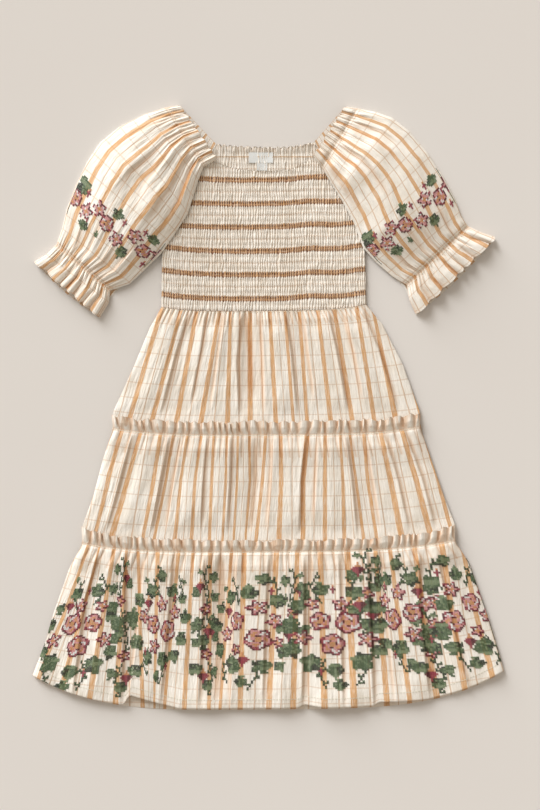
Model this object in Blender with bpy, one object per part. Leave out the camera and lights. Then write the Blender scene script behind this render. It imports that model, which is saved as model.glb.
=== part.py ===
"""A girl's smocked cotton dress, laid flat on its back.

Metres, +Z up off the surface, +Y towards the neck, +X to the viewer's right.
The sizes below are in millimetres, and every panel is a cloth wall of its own.
"""

import math
from collections import namedtuple

import bmesh
import bpy
from mathutils import Vector

MM = 0.001

# Cloth and the gaps between layers
BACK_WALL = 1.2
FRONT_WALL = 1.6
SEAM_GAP = 0.3
ON_BACK = BACK_WALL + SEAM_GAP
ON_SEAM = 2 * ON_BACK
ON_FRONT = ON_SEAM + FRONT_WALL + SEAM_GAP

# Smocked bodice
RIBS = 82
SMOCK_ROWS = 15
SMOCK_TOP = 271.0
SMOCK_BASE = 1.3
RIB_HEIGHT = 1.4
PINCHED = 0.5
SNAP_TO_EDGE = 0.4

# Joins between tiers
TUCK = 2.0
CLEAR_OF_TUCK = 3.5
STEP_START = 14.0
STEP_END = 2.0

# Gathers
COLUMNS_PER_GATHER = 3
EDGE_FADE = 0.03
LEVEL_BOW = 4.0
BACK_COLUMNS = 16
PLATEAU = 2.6

# Sleeves
SLEEVE_GATHERS = 9
FOLD_INSET = 2.6
CREASE_INSET = 1.5
CREASE_GAP = 0.5
ARMHOLE_RISE = ON_BACK + SMOCK_BASE + RIB_HEIGHT + SEAM_GAP
UNDER_COLUMNS = 6
UNDER_FRILL_REACH = 3.5

# Labels
LABEL_WALL = 1.0

CREAM = (247, 241, 228)
OFF_WHITE = (244, 243, 240)

Level = namedtuple("Level", "left_x left_y right_x right_y middle_y")
EdgePoint = namedtuple("EdgePoint", "x y")
Row = namedtuple("Row", "level base ripple swell")
Trough = namedtuple("Trough", "top bottom half_width depth")
Ring = namedtuple("Ring", "inner_x inner_y fold_x fold_y under_x under_y rise loft ripple")
Patch = namedtuple("Patch", "left right bottom top")
Lift = namedtuple("Lift", "start end height")

# Cross lines of the garment, from waist to hem
WAIST = Level(-116.1, 108.0, 104.8, 110.7, 103.7)
TIER_1_UPPER = Level(-132.8, 85.0, 124.2, 90.0, 80.0)
TIER_1_LOWER = Level(-146.5, 42.1, 144.0, 47.0, 36.0)
HEADING_1 = Level(-169.6, -8.6, 163.1, -6.5, -16.2)
SEAM_1 = Level(-167.9, -22.7, 162.5, -21.1, -29.7)
TIER_2_UPPER = Level(-179.3, -57.2, 176.0, -59.4, -66.0)
TIER_2_LOWER = Level(-189.5, -96.0, 188.0, -94.0, -104.0)
HEADING_2 = Level(-202.0, -130.7, 200.9, -128.0, -143.6)
SEAM_2 = Level(-200.9, -146.3, 200.3, -143.1, -155.5)
TIER_3_UPPER = Level(-215.5, -174.0, 215.5, -168.0, -186.0)
TIER_3_MIDDLE = Level(-232.2, -221.4, 234.4, -221.4, -240.0)
TIER_3_LOWER = Level(-240.8, -253.0, 243.5, -251.0, -280.0)
FRONT_HEM = Level(-254.9, -288.9, 253.3, -283.5, -324.0)
BACK_HEM = Level(-254.9, -289.5, 253.3, -285.0, -326.2)

FRONT_TOP = (
    EdgePoint(-114.5, 167.4),
    EdgePoint(-108.5, 183.0),
    EdgePoint(-91.5, 208.4),
    EdgePoint(-81.2, 238.7),
    EdgePoint(-77.5, 254.0),
    EdgePoint(-70.0, 260.5),
    EdgePoint(-60.0, 264.0),
    EdgePoint(-36.7, 257.0),
    EdgePoint(-7.6, 253.3),
    EdgePoint(22.7, 256.0),
    EdgePoint(47.5, 268.0),
    EdgePoint(52.0, 267.0),
    EdgePoint(60.6, 254.0),
    EdgePoint(71.0, 240.0),
    EdgePoint(91.0, 207.0),
    EdgePoint(99.5, 187.0),
    EdgePoint(101.5, 168.0),
)
BACK_TOP = (
    EdgePoint(-114.5, 167.4),
    EdgePoint(-56.7, 283.5),
    EdgePoint(-44.6, 281.7),
    EdgePoint(-21.6, 280.4),
    EdgePoint(-4.3, 279.6),
    EdgePoint(18.4, 280.0),
    EdgePoint(41.8, 283.0),
    EdgePoint(48.6, 286.2),
    EdgePoint(101.5, 168.0),
)

# Troughs between the broad folds, as shares of the panel's width
TIER_1_TROUGHS = (
    Trough(0.16, 0.13, 0.030, 0.8),
    Trough(0.44, 0.45, 0.032, 1.0),
    Trough(0.66, 0.64, 0.026, 0.7),
    Trough(0.86, 0.84, 0.026, 0.8),
)
TIER_2_TROUGHS = (
    Trough(0.19, 0.19, 0.024, 1.0),
    Trough(0.36, 0.38, 0.020, 0.8),
    Trough(0.46, 0.46, 0.018, 0.7),
    Trough(0.60, 0.57, 0.024, 0.9),
    Trough(0.81, 0.75, 0.022, 0.9),
    Trough(0.90, 0.86, 0.020, 0.7),
)
TIER_3_TROUGHS = (
    Trough(0.14, 0.20, 0.022, 1.0),
    Trough(0.38, 0.41, 0.024, 1.0),
    Trough(0.59, 0.57, 0.022, 0.9),
    Trough(0.76, 0.72, 0.022, 1.0),
    Trough(0.90, 0.82, 0.020, 0.8),
)

# Folds that lift the front hem, highest at their left end, as shares of its width
HEM_LIFTS = (
    Lift(0.19, 0.31, 13.0),
    Lift(0.56, 0.62, 4.5),
    Lift(0.72, 0.84, 4.0),
)

# Sleeve cross lines from the neck casing to the edge of the cuff frill
LEFT_RINGS = (
    Ring(-56.2, 266.8, -96.7, 325.6, -57.0, 283.7, ARMHOLE_RISE, 1.5, 2.0),
    Ring(-70.5, 258.5, -110.2, 323.8, -64.6, 268.6, ARMHOLE_RISE, 2.5, 1.0),
    Ring(-76.5, 243.0, -129.6, 319.1, -74.6, 248.6, ARMHOLE_RISE, 8.0, 3.2),
    Ring(-87.5, 208.4, -166.3, 301.3, -89.9, 217.8, ARMHOLE_RISE, 13.0, 2.6),
    Ring(-95.0, 196.5, -183.5, 286.5, -97.1, 203.3, ARMHOLE_RISE, 14.5, 2.3),
    Ring(-103.5, 183.5, -194.4, 267.8, -104.3, 188.9, ARMHOLE_RISE, 15.0, 2.2),
    Ring(-115.6, 166.2, -209.5, 238.7, -115.0, 167.6, ARMHOLE_RISE, 15.0, 2.2),
    Ring(-130.7, 151.2, -219.2, 212.8, -130.7, 151.2, ON_BACK, 13.0, 2.6),
    Ring(-150.1, 132.8, -224.1, 191.2, -150.1, 132.8, ON_BACK, 8.0, 3.2),
    Ring(-171.2, 125.3, -226.3, 172.3, -171.2, 125.3, ON_BACK, 2.5, 1.0),
    Ring(-172.8, 112.3, -240.8, 164.2, -172.8, 112.3, ON_BACK, 4.0, 3.0),
    Ring(-182.5, 96.1, -253.3, 156.6, -182.5, 96.1, ON_BACK, 2.5, 4.2),
)
RIGHT_RINGS = (
    Ring(47.5, 269.5, 82.6, 324.5, 48.9, 286.4, ARMHOLE_RISE, 1.5, 2.0),
    Ring(57.5, 256.5, 95.0, 321.8, 55.8, 271.0, ARMHOLE_RISE, 2.5, 1.0),
    Ring(67.3, 240.5, 115.6, 319.0, 64.8, 250.9, ARMHOLE_RISE, 8.0, 3.2),
    Ring(72.5, 232.0, 133.6, 313.2, 71.7, 235.5, ARMHOLE_RISE, 11.0, 2.8),
    Ring(78.5, 222.6, 148.0, 302.9, 78.7, 219.8, ARMHOLE_RISE, 13.0, 2.6),
    Ring(91.5, 198.3, 172.8, 274.3, 92.8, 188.3, ARMHOLE_RISE, 15.0, 2.2),
    Ring(101.5, 171.5, 189.0, 247.3, 102.0, 168.2, ARMHOLE_RISE, 15.0, 2.2),
    Ring(115.6, 156.1, 203.4, 220.5, 115.6, 156.1, ON_BACK, 13.0, 2.6),
    Ring(133.9, 140.4, 208.4, 204.1, 133.9, 140.4, ON_BACK, 8.0, 3.2),
    Ring(148.5, 131.8, 210.6, 193.3, 148.5, 131.8, ON_BACK, 2.5, 1.0),
    Ring(151.2, 115.6, 229.0, 190.1, 151.2, 115.6, ON_BACK, 4.0, 3.0),
    Ring(158.8, 99.4, 244.6, 182.5, 158.8, 99.4, ON_BACK, 2.5, 4.2),
)

NECK_LABEL = Patch(-21.6, 4.3, 263.3, 274.7)
SIZE_TAB = Patch(-13.0, -2.2, 255.2, 263.0)


def clear_scene():
    for item in list(bpy.data.objects):
        bpy.data.objects.remove(item, do_unlink=True)


def linear(channel):
    value = channel / 255
    if value <= 0.04045:
        return value / 12.92
    return ((value + 0.055) / 1.055) ** 2.4


def cloth_material(name, colour, roughness=0.9):
    material = bpy.data.materials.new(name)
    material.use_nodes = True
    shader = material.node_tree.nodes["Principled BSDF"]
    shader.inputs["Base Color"].default_value = (*[linear(c) for c in colour], 1.0)
    shader.inputs["Roughness"].default_value = roughness
    shader.inputs["Metallic"].default_value = 0.0
    return material


class Solid:
    """A closed mesh put together from points in millimetres."""

    def __init__(self, name, colour=CREAM):
        self.name = name
        self.colour = colour
        self.mesh = bmesh.new()
        self.known = {}

    def vert(self, point):
        key = tuple(round(value, 4) for value in point)
        if key not in self.known:
            self.known[key] = self.mesh.verts.new(Vector(point) * MM)
        return self.known[key]

    def face(self, points):
        corners = []
        for point in points:
            corner = self.vert(point)
            if corner not in corners:
                corners.append(corner)
        if len(corners) > 2:
            self.mesh.faces.new(corners)

    def skin(self, grid, flipped=False):
        for upper, lower in zip(grid, grid[1:]):
            for column in range(len(upper) - 1):
                quad = [upper[column], lower[column], lower[column + 1], upper[column + 1]]
                self.face(quad[::-1] if flipped else quad)

    def rim(self, outer_loop, inner_loop):
        count = len(outer_loop)
        for here in range(count):
            after = (here + 1) % count
            self.face([outer_loop[after], outer_loop[here], inner_loop[here], inner_loop[after]])

    def finish(self):
        bmesh.ops.recalc_face_normals(self.mesh, faces=self.mesh.faces)
        data = bpy.data.meshes.new(self.name)
        self.mesh.to_mesh(data)
        self.mesh.free()
        data.shade_smooth()
        data.set_sharp_from_angle(angle=math.radians(50))
        data.materials.append(cloth_material(self.name + "_cloth", self.colour))
        item = bpy.data.objects.new(self.name, data)
        bpy.context.scene.collection.objects.link(item)
        return item


def edge_loop(grid):
    """The points round a grid, from its top left corner down the left side."""
    left = [row[0] for row in grid]
    bottom = grid[-1][1:-1]
    right = [row[-1] for row in reversed(grid)]
    top = list(reversed(grid[0][1:-1]))
    return left + bottom + right + top


def wall_between(name, outer, inner):
    solid = Solid(name)
    solid.skin(outer)
    solid.skin(inner, flipped=True)
    solid.rim(edge_loop(outer), edge_loop(inner))
    return solid.finish()


def wall_over_plain(name, outer, underside):
    """Raised outer points over a flat inside at one height."""
    solid = Solid(name)
    solid.skin(outer)
    outer_loop = []
    for point in edge_loop(outer):
        if not outer_loop or outer_loop[-1] != point:
            outer_loop.append(point)
    inner_loop = [(x, y, underside) for x, y, _ in outer_loop]
    solid.rim(outer_loop, inner_loop)
    solid.face(inner_loop[::-1])
    return solid.finish()


def slab(name, outline, bottom, top, colour=CREAM):
    solid = Solid(name, colour)
    upper = [(x, y, top) for x, y in outline]
    lower = [(x, y, bottom) for x, y in outline]
    solid.face(upper)
    solid.face(lower[::-1])
    solid.rim(upper, lower)
    return solid.finish()


def lowered(level, drop):
    return Level(
        level.left_x,
        level.left_y - drop,
        level.right_x,
        level.right_y - drop,
        level.middle_y - drop,
    )


def between(upper, lower, share):
    return Level(*[a + (b - a) * share for a, b in zip(upper, lower)])


def along_side(upper, lower, height_above_lower):
    """The cross line that lies a given height above the lower one, on the same sides."""
    span = upper.left_y - lower.left_y
    return between(lower, upper, height_above_lower / span)


def level_point(level, share):
    x = level.left_x + share * (level.right_x - level.left_x)
    straight = level.left_y + share * (level.right_y - level.left_y)
    sag = level.middle_y - (level.left_y + level.right_y) / 2
    bow = 1 - abs(2 * share - 1) ** LEVEL_BOW
    return x, straight + sag * bow


def top_edge(points, x):
    """Height of an edge table at x."""
    for left, right in zip(points, points[1:]):
        if x <= right.x:
            share = (x - left.x) / (right.x - left.x)
            return left.y + max(share, 0.0) * (right.y - left.y)
    return points[-1].y


def hem_lift(share):
    """How far folds lift the front hem at a share of its width."""
    height = 0.0
    for lift in HEM_LIFTS:
        if lift.start <= share <= lift.end:
            height += lift.height * (lift.end - share) / (lift.end - lift.start)
    return height


def gather_shares(gathers):
    """Uneven places for the columns that carry the gathers."""
    count = gathers * COLUMNS_PER_GATHER
    shares = []
    for column in range(count + 1):
        even = column / count
        drift = 0.006 * math.sin(2 * math.pi * 3 * even) + 0.003 * math.sin(2 * math.pi * 7 * even)
        shares.append(even + drift)
    return shares


def gather_wave(column):
    """Round back and narrow valley, three columns to a gather."""
    return abs(math.sin(math.pi * column / COLUMNS_PER_GATHER))


def uneven(column, row):
    """How strongly one gather shows in one row."""
    gather = column // COLUMNS_PER_GATHER
    return 0.78 + 0.22 * math.sin(2.4 * gather + 0.9 * row) * math.cos(1.1 * gather)


def edge_fade(share):
    near = min(share, 1 - share)
    return min(1.0, near / EDGE_FADE)


def swell(troughs, share, depth_share):
    """Height of the broad folds, which drop into troughs between them."""
    height = PLATEAU
    for trough in troughs:
        centre = trough.top + (trough.bottom - trough.top) * depth_share
        distance = (share - centre) / trough.half_width
        height -= PLATEAU * trough.depth * math.exp(-distance * distance)
    return max(height, 0.0)


def front_panel(name, rows, gathers, troughs):
    """A gathered front panel that lies on its back panel."""
    shares = gather_shares(gathers)
    outer = []
    inner = []
    for number, row in enumerate(rows):
        depth_share = number / (len(rows) - 1)
        outer_row = []
        inner_row = []
        for column, share in enumerate(shares):
            x, y = level_point(row.level, share)
            if row.level is FRONT_HEM:
                y += hem_lift(share)
            ripple = row.ripple * gather_wave(column) * uneven(column, number)
            broad = row.swell * swell(troughs, share, depth_share)
            under = row.base + edge_fade(share) * (ripple + broad)
            inner_row.append((x, y, under))
            outer_row.append((x, y, under + FRONT_WALL))
        inner.append(inner_row)
        outer.append(outer_row)
    return wall_between(name, outer, inner)


def back_panel(name, rows):
    """A flat panel that rests on the surface, stepped where it laps the tier below."""
    outer = []
    inner = []
    for row in rows:
        places = [level_point(row.level, column / BACK_COLUMNS) for column in range(BACK_COLUMNS + 1)]
        inner.append([(x, y, row.base) for x, y in places])
        outer.append([(x, y, row.base + BACK_WALL) for x, y in places])
    return wall_between(name, outer, inner)


def tier_1():
    top = lowered(WAIST, SEAM_GAP)
    step_start = along_side(TIER_1_LOWER, HEADING_1, STEP_START)
    step_end = along_side(TIER_1_LOWER, HEADING_1, STEP_END)
    end = lowered(SEAM_1, TUCK)
    front_panel(
        "skirt_tier_1_front",
        (
            Row(top, ON_BACK, 2.6, 0.2),
            Row(between(top, TIER_1_UPPER, 0.4), ON_BACK, 3.8, 0.5),
            Row(TIER_1_UPPER, ON_BACK, 4.0, 1.0),
            Row(TIER_1_LOWER, ON_BACK, 3.4, 1.0),
            Row(step_start, ON_BACK, 3.0, 1.0),
            Row(step_end, ON_SEAM, 0.0, 0.0),
            Row(end, ON_SEAM, 0.0, 0.0),
        ),
        22,
        TIER_1_TROUGHS,
    )
    back_panel(
        "skirt_tier_1_back",
        (
            Row(top, 0.0, 0.0, 0.0),
            Row(TIER_1_UPPER, 0.0, 0.0, 0.0),
            Row(TIER_1_LOWER, 0.0, 0.0, 0.0),
            Row(step_start, 0.0, 0.0, 0.0),
            Row(step_end, ON_BACK, 0.0, 0.0),
            Row(end, ON_BACK, 0.0, 0.0),
        ),
    )


def tier_2():
    step_start = along_side(TIER_2_LOWER, HEADING_2, STEP_START)
    step_end = along_side(TIER_2_LOWER, HEADING_2, STEP_END)
    end = lowered(SEAM_2, TUCK)
    front_panel(
        "skirt_tier_2_front",
        (
            Row(HEADING_1, ON_FRONT, 3.4, 0.0),
            Row(between(HEADING_1, SEAM_1, 0.5), ON_FRONT, 3.0, 0.0),
            Row(SEAM_1, ON_FRONT, 0.8, 0.0),
            Row(lowered(SEAM_1, CLEAR_OF_TUCK), ON_FRONT, 3.2, 0.0),
            Row(between(SEAM_1, TIER_2_UPPER, 0.4), ON_BACK, 5.4, 0.6),
            Row(TIER_2_UPPER, ON_BACK, 5.0, 1.0),
            Row(TIER_2_LOWER, ON_BACK, 4.2, 1.0),
            Row(step_start, ON_BACK, 3.8, 1.0),
            Row(step_end, ON_SEAM, 0.0, 0.0),
            Row(end, ON_SEAM, 0.0, 0.0),
        ),
        24,
        TIER_2_TROUGHS,
    )
    back_panel(
        "skirt_tier_2_back",
        (
            Row(HEADING_1, 0.0, 0.0, 0.0),
            Row(SEAM_1, 0.0, 0.0, 0.0),
            Row(TIER_2_UPPER, 0.0, 0.0, 0.0),
            Row(TIER_2_LOWER, 0.0, 0.0, 0.0),
            Row(step_start, 0.0, 0.0, 0.0),
            Row(step_end, ON_BACK, 0.0, 0.0),
            Row(end, ON_BACK, 0.0, 0.0),
        ),
    )


def tier_3():
    front_panel(
        "skirt_tier_3_front",
        (
            Row(HEADING_2, ON_FRONT, 3.6, 0.0),
            Row(between(HEADING_2, SEAM_2, 0.5), ON_FRONT, 3.2, 0.0),
            Row(SEAM_2, ON_FRONT, 0.8, 0.0),
            Row(lowered(SEAM_2, CLEAR_OF_TUCK), ON_FRONT, 3.4, 0.0),
            Row(between(SEAM_2, TIER_3_UPPER, 0.5), ON_BACK, 6.0, 0.6),
            Row(TIER_3_UPPER, ON_BACK, 6.2, 1.0),
            Row(TIER_3_MIDDLE, ON_BACK, 5.8, 1.2),
            Row(TIER_3_LOWER, ON_BACK, 5.8, 1.3),
            Row(FRONT_HEM, ON_BACK, 6.2, 1.3),
        ),
        26,
        TIER_3_TROUGHS,
    )
    back_panel(
        "skirt_tier_3_back",
        (
            Row(HEADING_2, 0.0, 0.0, 0.0),
            Row(SEAM_2, 0.0, 0.0, 0.0),
            Row(TIER_3_UPPER, 0.0, 0.0, 0.0),
            Row(TIER_3_MIDDLE, 0.0, 0.0, 0.0),
            Row(TIER_3_LOWER, 0.0, 0.0, 0.0),
            Row(BACK_HEM, 0.0, 0.0, 0.0),
        ),
    )


def bodice_front():
    """Fine upright ribs, pinched by the rows of elastic, cut off at the neck and armholes."""
    columns = 2 * RIBS
    pitch = (SMOCK_TOP - WAIST.middle_y) / (SMOCK_ROWS - 1)
    under = FRONT_TOP[0]
    under_right = FRONT_TOP[-1]
    outer = []
    for number in range(SMOCK_ROWS):
        down = number / (SMOCK_ROWS - 1)
        strength = 1.0 if number % 2 else PINCHED
        row = []
        for column in range(columns + 1):
            share = column / columns
            x_top = under.x + share * (under_right.x - under.x)
            x_low, y_low = level_point(WAIST, share)
            y = SMOCK_TOP + down * (y_low - SMOCK_TOP)
            edge = top_edge(FRONT_TOP, x_top)
            if y > edge - SNAP_TO_EDGE * pitch:
                y = edge
            slide = (SMOCK_TOP - y) / (SMOCK_TOP - y_low)
            x = x_top + slide * (x_low - x_top)
            height = SMOCK_BASE
            if column % 2:
                height += RIB_HEIGHT * (PINCHED if y == edge else strength)
            row.append((x, y, ON_BACK + height))
        outer.append(row)
    return wall_over_plain("bodice_front", outer, ON_BACK)


def bodice_back():
    waist = [level_point(WAIST, column / BACK_COLUMNS) for column in range(BACK_COLUMNS + 1)]
    outline = waist + [(point.x, point.y) for point in reversed(BACK_TOP)]
    return slab("bodice_back", outline, 0.0, BACK_WALL)


def mix(start, end, share):
    return start[0] + (end[0] - start[0]) * share, start[1] + (end[1] - start[1]) * share


def sleeve_ring(ring, number, frill_way):
    """One cross line: over the top from the armhole to the outer fold, and back beneath."""
    inner_point = (ring.inner_x, ring.inner_y)
    fold_point = (ring.fold_x, ring.fold_y)
    under_point = (ring.under_x, ring.under_y)
    width = math.dist(inner_point, fold_point)
    last = 1 - FOLD_INSET / width
    crease = 1 - CREASE_INSET / width
    outer = []
    inner = []
    columns = SLEEVE_GATHERS * COLUMNS_PER_GATHER
    for column in range(columns + 1):
        share = last * column / columns
        x, y = mix(inner_point, fold_point, share)
        slope = ring.rise + (BACK_WALL + CREASE_GAP - ring.rise) * share / last
        puff = ring.loft * math.sin(math.pi * share / last) ** 0.8 if 0 < column < columns else 0.0
        ripple = ring.ripple * gather_wave(column) * uneven(column, number)
        under = slope + puff + ripple
        inner.append((x, y, under))
        outer.append((x, y, under + FRONT_WALL))
    middle = BACK_WALL + CREASE_GAP / 2
    inner.append((*mix(inner_point, fold_point, crease), middle))
    outer.append((*fold_point, middle))
    for column in range(UNDER_COLUMNS + 1):
        back = column / UNDER_COLUMNS
        x, y = mix(mix(inner_point, fold_point, last), under_point, back)
        reach = math.sin(math.pi * back)
        x += frill_way[0] * reach
        y += frill_way[1] * reach
        inner.append((x, y, BACK_WALL))
        outer.append((x, y, 0.0))
    return outer, inner


def sleeve(name, rings):
    outer = []
    inner = []
    for number, ring in enumerate(rings):
        frill_way = (0.0, 0.0)
        if number == len(rings) - 1:
            before = rings[number - 1]
            way = (ring.fold_x + ring.inner_x - before.fold_x - before.inner_x,
                   ring.fold_y + ring.inner_y - before.fold_y - before.inner_y)
            size = math.hypot(*way)
            frill_way = (way[0] / size * UNDER_FRILL_REACH, way[1] / size * UNDER_FRILL_REACH)
        outer_row, inner_row = sleeve_ring(ring, number, frill_way)
        outer.append(outer_row)
        inner.append(inner_row)
    return wall_between(name, outer, inner)


def label(name, patch):
    outline = [
        (patch.left, patch.bottom),
        (patch.right, patch.bottom),
        (patch.right, patch.top),
        (patch.left, patch.top),
    ]
    return slab(name, outline, ON_BACK, ON_BACK + LABEL_WALL, OFF_WHITE)


def build_dress():
    clear_scene()
    bodice_front()
    bodice_back()
    tier_1()
    tier_2()
    tier_3()
    sleeve("sleeve_left", LEFT_RINGS)
    sleeve("sleeve_right", RIGHT_RINGS)
    label("neck_label", NECK_LABEL)
    label("size_tab", SIZE_TAB)


build_dress()
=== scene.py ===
"""A girl's smocked cotton dress laid flat: cloth, embroidery, light and camera.

The tables are in millimetres in the CAD's frame, or in pixels of the 540 by 810 photograph where
a name says so. Every cloth piece is a thin shell on the form of the solid it stands for.
"""

import math

import bpy
import numpy as np
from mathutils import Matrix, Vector


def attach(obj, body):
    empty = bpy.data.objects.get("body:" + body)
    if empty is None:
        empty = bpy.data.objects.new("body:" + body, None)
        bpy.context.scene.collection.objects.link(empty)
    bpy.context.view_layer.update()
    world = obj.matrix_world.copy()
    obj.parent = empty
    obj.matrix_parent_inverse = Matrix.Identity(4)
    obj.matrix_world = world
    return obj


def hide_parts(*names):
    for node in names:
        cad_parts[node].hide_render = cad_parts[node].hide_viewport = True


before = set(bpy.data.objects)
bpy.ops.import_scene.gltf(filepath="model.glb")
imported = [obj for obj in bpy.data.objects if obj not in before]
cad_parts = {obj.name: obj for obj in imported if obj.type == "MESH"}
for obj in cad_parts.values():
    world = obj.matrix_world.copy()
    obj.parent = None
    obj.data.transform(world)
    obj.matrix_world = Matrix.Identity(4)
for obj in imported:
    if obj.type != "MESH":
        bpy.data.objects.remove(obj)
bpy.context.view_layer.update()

MM = 0.001
PX = 1.08
PX_X0 = 269.0
PX_Y0 = 407.0
STRIPE_PITCH = 25.6
CROSS_PITCH = 16.0

# Heights of the layers, as in the solids
BACK_Z = 1.2
ON_BACK = 1.5
ON_SEAM = 3.0
ON_FRONT = 4.9
WALL = 1.6
ARMHOLE_RISE = 4.5


def px_x(px):
    return (np.asarray(px, float) - PX_X0) * PX


def px_y(py):
    return (PX_Y0 - np.asarray(py, float)) * PX


# Cross lines of the garment: left_x, left_y, right_x, right_y, middle_y
WAIST = np.array((-116.1, 108.0, 104.8, 110.7, 103.7))
TIER_1_UPPER = np.array((-128.6, 85.0, 121.4, 90.0, 80.0))
TIER_1_LOWER = np.array((-146.5, 42.1, 144.0, 47.0, 36.0))
HEADING_1 = np.array((-169.6, -8.6, 163.1, -6.5, -16.2))
SEAM_1 = np.array((-167.9, -22.7, 162.5, -21.1, -29.7))
TIER_2_UPPER = np.array((-179.3, -57.2, 176.0, -59.4, -66.0))
TIER_2_LOWER = np.array((-189.5, -96.0, 188.0, -94.0, -104.0))
HEADING_2 = np.array((-202.0, -130.7, 200.9, -128.0, -143.6))
SEAM_2 = np.array((-200.9, -146.3, 200.3, -143.1, -155.5))
TIER_3_UPPER = np.array((-215.5, -174.0, 215.5, -168.0, -186.0))
TIER_3_MIDDLE = np.array((-232.2, -221.4, 234.4, -221.4, -240.0))
TIER_3_LOWER = np.array((-240.8, -253.0, 243.5, -251.0, -280.0))
FRONT_HEM = np.array((-254.9, -288.9, 253.3, -283.5, -324.0))
BACK_HEM = np.array((-254.9, -289.5, 253.3, -285.0, -326.2))

FRONT_TOP = np.array((
    (-114.5, 167.4), (-108.5, 183.0), (-91.5, 208.4), (-81.2, 238.7), (-77.5, 254.0),
    (-70.0, 260.5), (-60.0, 264.0), (-36.7, 257.0), (-7.6, 253.3), (22.7, 256.0),
    (47.5, 268.0), (52.0, 267.0), (60.6, 254.0), (71.0, 240.0), (91.0, 207.0),
    (99.5, 187.0), (101.5, 168.0),
))
BACK_TOP = np.array((
    (-114.5, 167.4), (-56.7, 283.5), (-44.6, 281.7), (-21.6, 280.4), (-4.3, 279.6),
    (18.4, 280.0), (41.8, 283.0), (48.6, 286.2), (101.5, 168.0),
))
HEM_LIFTS = ((0.19, 0.31, 13.0), (0.56, 0.62, 4.5), (0.72, 0.84, 4.0))

# inner_x, inner_y, fold_x, fold_y, under_x, under_y, rise, loft
LEFT_RINGS = np.array((
    (-56.2, 266.8, -96.7, 325.6, -57.0, 283.7, 4.5, 1.5),
    (-70.5, 258.5, -110.2, 323.8, -64.6, 268.6, 4.5, 2.5),
    (-76.5, 243.0, -129.6, 319.1, -74.6, 248.6, 4.5, 8.0),
    (-87.5, 208.4, -166.3, 301.3, -89.9, 217.8, 4.5, 13.0),
    (-95.0, 196.5, -183.5, 286.5, -97.1, 203.3, 4.5, 14.5),
    (-103.5, 183.5, -194.4, 267.8, -104.3, 188.9, 4.5, 15.0),
    (-115.6, 166.2, -209.5, 238.7, -115.0, 167.6, 4.5, 15.0),
    (-130.7, 151.2, -219.2, 212.8, -130.7, 151.2, 1.5, 13.0),
    (-150.1, 132.8, -224.1, 191.2, -150.1, 132.8, 1.5, 8.0),
    (-171.2, 125.3, -226.3, 172.3, -171.2, 125.3, 1.5, 2.5),
    (-172.8, 112.3, -240.8, 164.2, -172.8, 112.3, 1.5, 4.0),
    (-182.5, 96.1, -253.3, 156.6, -182.5, 96.1, 1.5, 2.5),
))
RIGHT_RINGS = np.array((
    (47.5, 269.5, 82.6, 324.5, 48.9, 286.4, 4.5, 1.5),
    (57.5, 256.5, 95.0, 321.8, 55.8, 271.0, 4.5, 2.5),
    (67.3, 240.5, 115.6, 319.0, 64.8, 250.9, 4.5, 8.0),
    (72.5, 232.0, 133.6, 313.2, 71.7, 235.5, 4.5, 11.0),
    (78.5, 222.6, 148.0, 302.9, 78.7, 219.8, 4.5, 13.0),
    (91.5, 198.3, 172.8, 274.3, 92.8, 188.3, 4.5, 15.0),
    (101.5, 171.5, 189.0, 247.3, 102.0, 168.2, 4.5, 15.0),
    (115.6, 156.1, 203.4, 220.5, 115.6, 156.1, 1.5, 13.0),
    (133.9, 140.4, 208.4, 204.1, 133.9, 140.4, 1.5, 8.0),
    (148.5, 131.8, 210.6, 193.3, 148.5, 131.8, 1.5, 2.5),
    (151.2, 115.6, 229.0, 190.1, 151.2, 115.6, 1.5, 4.0),
    (158.8, 99.4, 244.6, 182.5, 158.8, 99.4, 1.5, 2.5),
))

# Where the stripes lie: w is a wide stripe and t a thin line, at the x pixels of each height
TIER_1_STRIPES = ((313, 415), (
    ("t", 150, 121), ("w", 162, 132), ("w", 181, 154), ("w", 196, 178), ("w", 220, 202),
    ("w", 230, 228), ("w", 250, 250), ("w", 270, 276), ("w", 285, 293), ("w", 299, 306),
    ("w", 318, 330), ("w", 334, 351), ("w", 357, 373), ("w", 372, 393), ("t", 378, 408),
))
TIER_2_STRIPES = ((433, 481, 533), (
    ("t", 115, 97, 88), ("w", 123, 110, 98), ("w", 142, 128, 113), ("t", 149, 141, 133),
    ("w", 162, 155, 145), ("w", 174, 166, 155), ("w", 188, 181, 176), ("w", 202, 195, 192),
    ("w", 214, 212, 210), ("w", 227, 226, 223), ("w", 238, 237, 234), ("w", 249, 250, 246),
    ("w", 266, 262, 256), ("w", 280, 281, 279), ("t", 292, 292, 292), ("w", 308, 303, 303),
    ("w", 325, 325, 325), ("w", 340, 343, 344), ("w", 349, 356, 363), ("w", 363, 367, 375),
    ("t", 373, 378, 385), ("w", 379, 390, 400), ("t", 393, 403, 413), ("w", 400, 415, 428),
    ("t", 415, 428, 440), ("w", 421, 436, 448),
))
TIER_3_STRIPES = ((553, 690), (
    ("t", 79, 38), ("w", 89, 44), ("w", 100, 66), ("t", 103, 80), ("w", 115, 93),
    ("w", 127, 117), ("w", 138, 143), ("w", 158, 155), ("w", 179, 166), ("w", 193, 185),
    ("w", 210, 210), ("w", 232, 221), ("w", 243, 240), ("t", 261, 255), ("w", 277, 270),
    ("w", 297, 293), ("w", 320, 324), ("w", 347, 353), ("w", 376, 386), ("w", 389, 407),
    ("t", 402, 420), ("w", 414, 434), ("t", 425, 448), ("w", 442, 462), ("t", 451, 474),
    ("w", 460, 489),
))

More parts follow.
